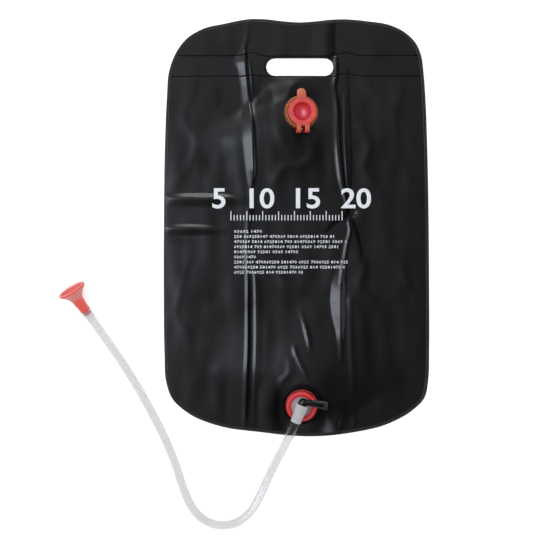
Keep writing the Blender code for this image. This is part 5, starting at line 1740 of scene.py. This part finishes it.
class SHOWER_OT_outlet(Operator):
    """Makes the outlet: its black flange, its gasket, the ring nut, the tap and the lever"""

    bl_idname = "shower.outlet"
    bl_label = "Outlet"

    def execute(self, context):
        settings = context.scene.shower_fittings
        steps = settings.ring_steps
        black = moulded_material("black_flange", settings.black, roughness=0.3, level=0.2)
        self.add_base(black, steps)
        add_washer("outlet_washer", "outlet_gasket", OUTLET, "root", "soft_gasket", 0.0003, steps)
        self.add_nut(settings, steps)
        self.add_tap(settings, steps)
        self.add_lever(settings)
        return {"FINISHED"}

    def add_base(self, material, steps):
        points = local_points("outlet_base", OUTLET)
        flange, foot, top = reach(points)
        bore = bore_of(points)
        rim = max(p.z for p in points if off_axis(p) > 0.95 * flange)
        neck = max(off_axis(p) for p in points if p.z > rim + 0.002)
        floor = rim - 0.0008
        shape = bmesh.new()
        lathe(shape, [(neck - THREAD_DEPTH, top), (neck - THREAD_DEPTH, floor), (flange - 0.0030, floor),
                      (flange - 0.0022, rim), (flange - 0.0004, rim), (flange, rim - 0.0005),
                      (flange, foot), (bore, foot), (bore, top)], 0.0004, steps, ring=True)
        add_thread(shape, neck, floor + 0.0014, top - 0.0010)
        add_piece("outlet_flange", finish_mesh(shape, "outlet_flange", OUTLET), "root", "black_moulded",
                  material, "outlet_base")

    def add_nut(self, settings, steps):
        points = local_points("outlet_nut", OUTLET)
        foot_radius, foot, top = reach(points)
        top_radius = max(off_axis(p) for p in points if p.z > top - 0.0003)
        hole = bore_of(points)
        bore = bore_of(p for p in points if p.z < foot + 0.0003)
        plate = min(p.z for p in points if off_axis(p) < hole + 0.0005)
        rib = NUT_RIB
        material = moulded_material("red_nut_plastic", settings.red, roughness=0.3, glow=0.2, gloss=0.2,
                                    skirt=settings.red_painted_shade, edge=settings.red_edge_highlight)
        shape = bmesh.new()
        lathe(shape, [(hole + 0.0002, top - 0.0006), (hole + 0.0012, top), (top_radius - 0.0004, top),
                      (top_radius, top - 0.0006), (top_radius + 0.0001, plate - 0.0010),
                      (foot_radius - 1.7 * rib, plate - 0.0016), (foot_radius - 1.3 * rib, foot + 0.0016),
                      (foot_radius, foot + 0.0012), (foot_radius, foot), (bore, foot),
                      (bore, plate), (hole, plate)], 0.0005, steps, ring=True)
        places = places_of(shape)
        mesh = finish_mesh(shape, "ring_nut", OUTLET)
        # Painted shade on the skirt, and painted highlights on the top's outer edge and the foot's rim
        mark(mesh, "skirt", [smooth_step((top - 0.0016 - p.z) / 0.002) for p in places])
        mark(mesh, "edge", [max(0.55 * smooth_step(1.4 - abs(off_axis(p) - top_radius + 0.0004) / 0.0006)
                                * smooth_step((p.z - top + 0.0016) / 0.001),
                                0.7 * (off_axis(p) > foot_radius - 0.0004)) for p in places])
        add_piece("ring_nut", mesh, "nut", "red", material, "outlet_nut")
        low, high = foot + 0.0012, plate - 0.0018
        # Painted shade on the ribs as well
        add_ribs("ring_nut_ribs", "nut", "red", material, OUTLET, {"skirt": lambda place: 0.9}, {
            "Radius": foot_radius - 1.6 * rib, "Height": (low + high) / 2, "Length": high - low,
            "Rib radius": 0.0007, "Slope": 0.0})

    def add_tap(self, settings, steps):
        """The tap: disc and tail in the neck, the riser, and the barrel across its top."""
        points = local_points("tap_body", OUTLET)
        foot = min(p.z for p in points)
        low_points = [p for p in points if p.z < foot + 0.008]
        disc = max(off_axis(p) for p in low_points)
        disc_heights = [p.z for p in low_points if off_axis(p) > disc - 0.0002]
        disc_foot, disc_top = min(disc_heights), max(disc_heights)
        tail = max(off_axis(p) for p in points if p.z < foot + 0.0002)
        mouth = max(p.x for p in points)
        mouth_radius = max(abs(p.y) for p in points if p.x > mouth - 0.0002) + 0.0004
        high_points = [p for p in points if p.z > TAP.z - 0.002]
        back = min(p.x for p in high_points)
        back_radius = max(abs(p.y) for p in high_points if p.x < back + 0.0006)
        bore = mouth_radius - 0.0024
        shape = bmesh.new()
        lathe(shape, [(0, disc_top + 0.0002), (0.0075, disc_top + 0.0002), (0.0080, disc_top),
                      (disc - 0.0045, disc_top), (disc, disc_top), (disc, disc_foot), (tail, disc_foot),
                      (tail, foot), (0.0120, foot), (0.0120, disc_foot), (0, disc_foot)], 0.0004, steps)
        lathe(shape, [(0, TAP.z), (0.0060, TAP.z), (0.0060, disc_top + 0.0020), (0.0082, disc_top),
                      (0, disc_top)], 0.0012, 48)
        lathe(shape, [(0, mouth - 0.0060), (bore, mouth - 0.0060), (bore, mouth), (mouth_radius, mouth),
                      (mouth_radius, mouth - 0.0030), (mouth_radius - 0.0003, mouth - 0.0036),
                      (back_radius, back + 0.0030), (back_radius, back), (0, back)], 0.0005, 64, BARREL)
        places = places_of(shape)
        mesh = finish_mesh(shape, "milky_tap", OUTLET)
        # Painted red light from the nut over the low part of the tap
        mark(mesh, "disc", [smooth_step((disc_top + 0.0025 - p.z) / 0.003) for p in places])
        material = moulded_material("milky_plastic", settings.milky, shade=0.92, roughness=0.35, glow=0.3,
                                    disc=settings.rosy)
        add_piece("milky_tap", mesh, "root", "milky", material, "tap_body")

    def add_lever(self, settings):
        """The lever: a domed hub on the barrel's end, and a flat arm that widens to its slanted tip."""
        points = local_points("tap_lever", OUTLET)
        plug_end = max(p.x for p in points)
        start = TAP.x - HUB_START
        depth = start - min(p.x for p in points if p.y < 0)
        shape = bmesh.new()
        lathe(shape, [(0, plug_end), (PLUG_RADIUS, plug_end), (PLUG_RADIUS, start)]
              + [(HUB_RADIUS * wide, start - depth * deep) for wide, deep in HUB_DOME], 0.0006, 48, BARREL)
        place = Matrix.Translation((start - depth / 2, 0, TAP.z)) @ Matrix.Rotation(LEVER_TURN, 4, "Z")
        prism(shape, LEVER_OUTLINE, -LEVER_HALF, LEVER_HALF, 0.0007, place)
        prism(shape, LEVER_RIDGE, 0.0010, 0.0021, 0.0004, place)
        flat = [place.inverted() @ p for p in places_of(shape)]
        mesh = finish_mesh(shape, "black_lever", OUTLET)
        # Painted highlights along the arm's sides
        mark(mesh, "side", [0.8 * smooth_step((0.0017 - abs(p.z)) / 0.0004)
                            * smooth_step((p.y - 0.012) / 0.004) for p in flat])
        material = moulded_material("black_lever_plastic", settings.black, roughness=0.25, level=0.4,
                                    side=settings.black_edge_highlight)
        add_piece("black_lever", mesh, "lever", "black_moulded", material, "tap_lever")


# The head's outer side, from its rim to its stem, as shares of the rim's radius and of the length
HEAD_OUTER = [(0.955, 1.000), (0.990, 0.990), (1.000, 0.965), (0.985, 0.925), (0.925, 0.880),
              (0.756, 0.805), (0.581, 0.699), (0.459, 0.591), (0.396, 0.475), (0.389, 0.369),
              (0.384, 0.300), (0.345, 0.285), (0.338, 0.0), (0.267, 0.0)]
# Its inner side, as radii and shares of the length, up to the pocket of the face plate
HEAD_INNER = [(0.0042, 0.0), (0.0052, 0.48), (0.0072, 0.60), (0.0108, 0.70), (0.0148, 0.80)]
HOLE_PITCH = 0.0048
HOLE_RADIUS = 0.0008


class SHOWER_OT_head(Operator):
    """Makes the shower head"""

    bl_idname = "shower.head"
    bl_label = "Shower head"

    def execute(self, context):
        settings = context.scene.shower_fittings
        rim_radius, _, length = reach(local_points("head_body", HEAD))
        rose_radius, rose_back, rose_front = reach(local_points("head_rose", HEAD))
        rose_radius -= LIP_WIDTH
        pocket = rose_radius + FIT_GAP
        ledge = rose_back - FIT_GAP
        shape = bmesh.new()
        lathe(shape, [(rim_radius * wide, length * high) for wide, high in HEAD_OUTER]
              + [(0.0058, -SPIGOT), (0.0036, -SPIGOT)]
              + [(radius, high * length) for radius, high in HEAD_INNER]
              + [(pocket - 0.0013, ledge), (pocket, ledge), (pocket, length)],
              0.0004, settings.ring_steps, ring=True, edge_steps=2)
        places = places_of(shape)
        for vertex in shape.verts:
            vertex.co = self.bend(vertex.co.z / length, length) @ vertex.co
        mesh = finish_mesh(shape, "head_trumpet", HEAD)
        self.add_marks(mesh, places, rim_radius, length, pocket)
        material = moulded_material("coral_head_plastic", settings.head, shade=0.9, roughness=0.24, glow=0.3,
                                    bell=settings.bell, flare=settings.pale)
        body = add_piece("head_trumpet", mesh, "root", "coral", material, "head_body")
        face = moulded_material("coral_face_plastic", settings.head, roughness=0.45, glow=0.2, gloss=0.0,
                                level=0.1)
        rose = grow(rose_tree(), "head_face", {
            "Radius": rose_radius, "Thickness": rose_front - rose_back, "Pitch": HOLE_PITCH,
            "Hole radius": HOLE_RADIUS, "Material": face})
        rose.transform(HEAD @ self.bend(1, length)
                       @ Matrix.Translation((0, 0, (rose_front + rose_back) / 2)))
        plate = add_piece("head_face", rose, "root", "coral", face, "head_rose")
        return {"FINISHED"}

    def add_marks(self, mesh, places, rim_radius, length, pocket):
        """Marks the bell, pale but for its upper edge's painted shade, and the lip below, paler with painted
        light.
        """
        upright = HEAD.to_3x3().inverted() @ Vector((0, 0, 1))
        bell = []
        flare = []
        for place in places:
            share = place.z / length
            height = 1.5 * place.dot(upright) / rim_radius
            upper = smooth_step(0.4 + height) * smooth_step((share - 0.90) / 0.05)
            lip = (smooth_step((share - 0.86) / 0.05)
                   * smooth_step((off_axis(place) - pocket + 0.0004) / 0.0003) * smooth_step(0.6 - height))
            # On the spigot, inside the hose, the pale colours are painted light
            on_spigot = place.z < -0.0002
            bell.append(1.0 if on_spigot else smooth_step((share - 0.5) / 0.15) * (1 - 0.9 * upper))
            flare.append(0.55 if on_spigot else lip)
        mark(mesh, "flare", flare)
        mark(mesh, "bell", bell)

    def bend(self, share, length):
        """The turn of the bell at a share of the head's length: the stem follows the hose, the bell less."""
        upright = HEAD.to_3x3().inverted() @ Vector((0, 0, 1))
        pivot = Matrix.Translation((0, 0, BEND_SPAN[0] * length))
        part = smooth_step((share - BEND_SPAN[0]) / (BEND_SPAN[1] - BEND_SPAN[0]))
        return pivot @ Matrix.Rotation(-HEAD_BEND * float(part), 4, upright) @ pivot.inverted()


class SHOWER_PT_panel(Panel):
    """Lists the steps that build the shower bag"""

    bl_idname = "SHOWER_PT_panel"
    bl_label = "Shower bag"
    bl_space_type = "VIEW_3D"
    bl_region_type = "UI"
    bl_category = "Shower bag"

    def draw(self, context):
        for step in STEPS:
            self.layout.operator(step.bl_idname)
        for label, kind in SETTINGS.items():
            box = self.layout.box()
            for name in kind.__annotations__:
                box.prop(getattr(context.scene, label), name)


SETTINGS = {
    "shower_stage": StageSettings,
    "shower_hose": HoseSettings,
    "shower_film": FilmSettings,
    "shower_print": PrintSettings,
    "shower_fittings": FittingSettings,
}
STEPS = (SHOWER_OT_stage, SHOWER_OT_hose, SHOWER_OT_film, SHOWER_OT_print, SHOWER_OT_filler,
         SHOWER_OT_outlet, SHOWER_OT_head)


def register():
    for kind in (*SETTINGS.values(), *STEPS, SHOWER_PT_panel):
        bpy.utils.register_class(kind)
    for label, kind in SETTINGS.items():
        setattr(bpy.types.Scene, label, PointerProperty(type=kind))


def unregister():
    for label in SETTINGS:
        delattr(bpy.types.Scene, label)
    for kind in (SHOWER_PT_panel, *reversed(STEPS), *reversed(list(SETTINGS.values()))):
        bpy.utils.unregister_class(kind)


def main():
    register()
    for step in STEPS:
        group, name = step.bl_idname.split(".")
        getattr(getattr(bpy.ops, group), name)()


if __name__ == "__main__":
    main()
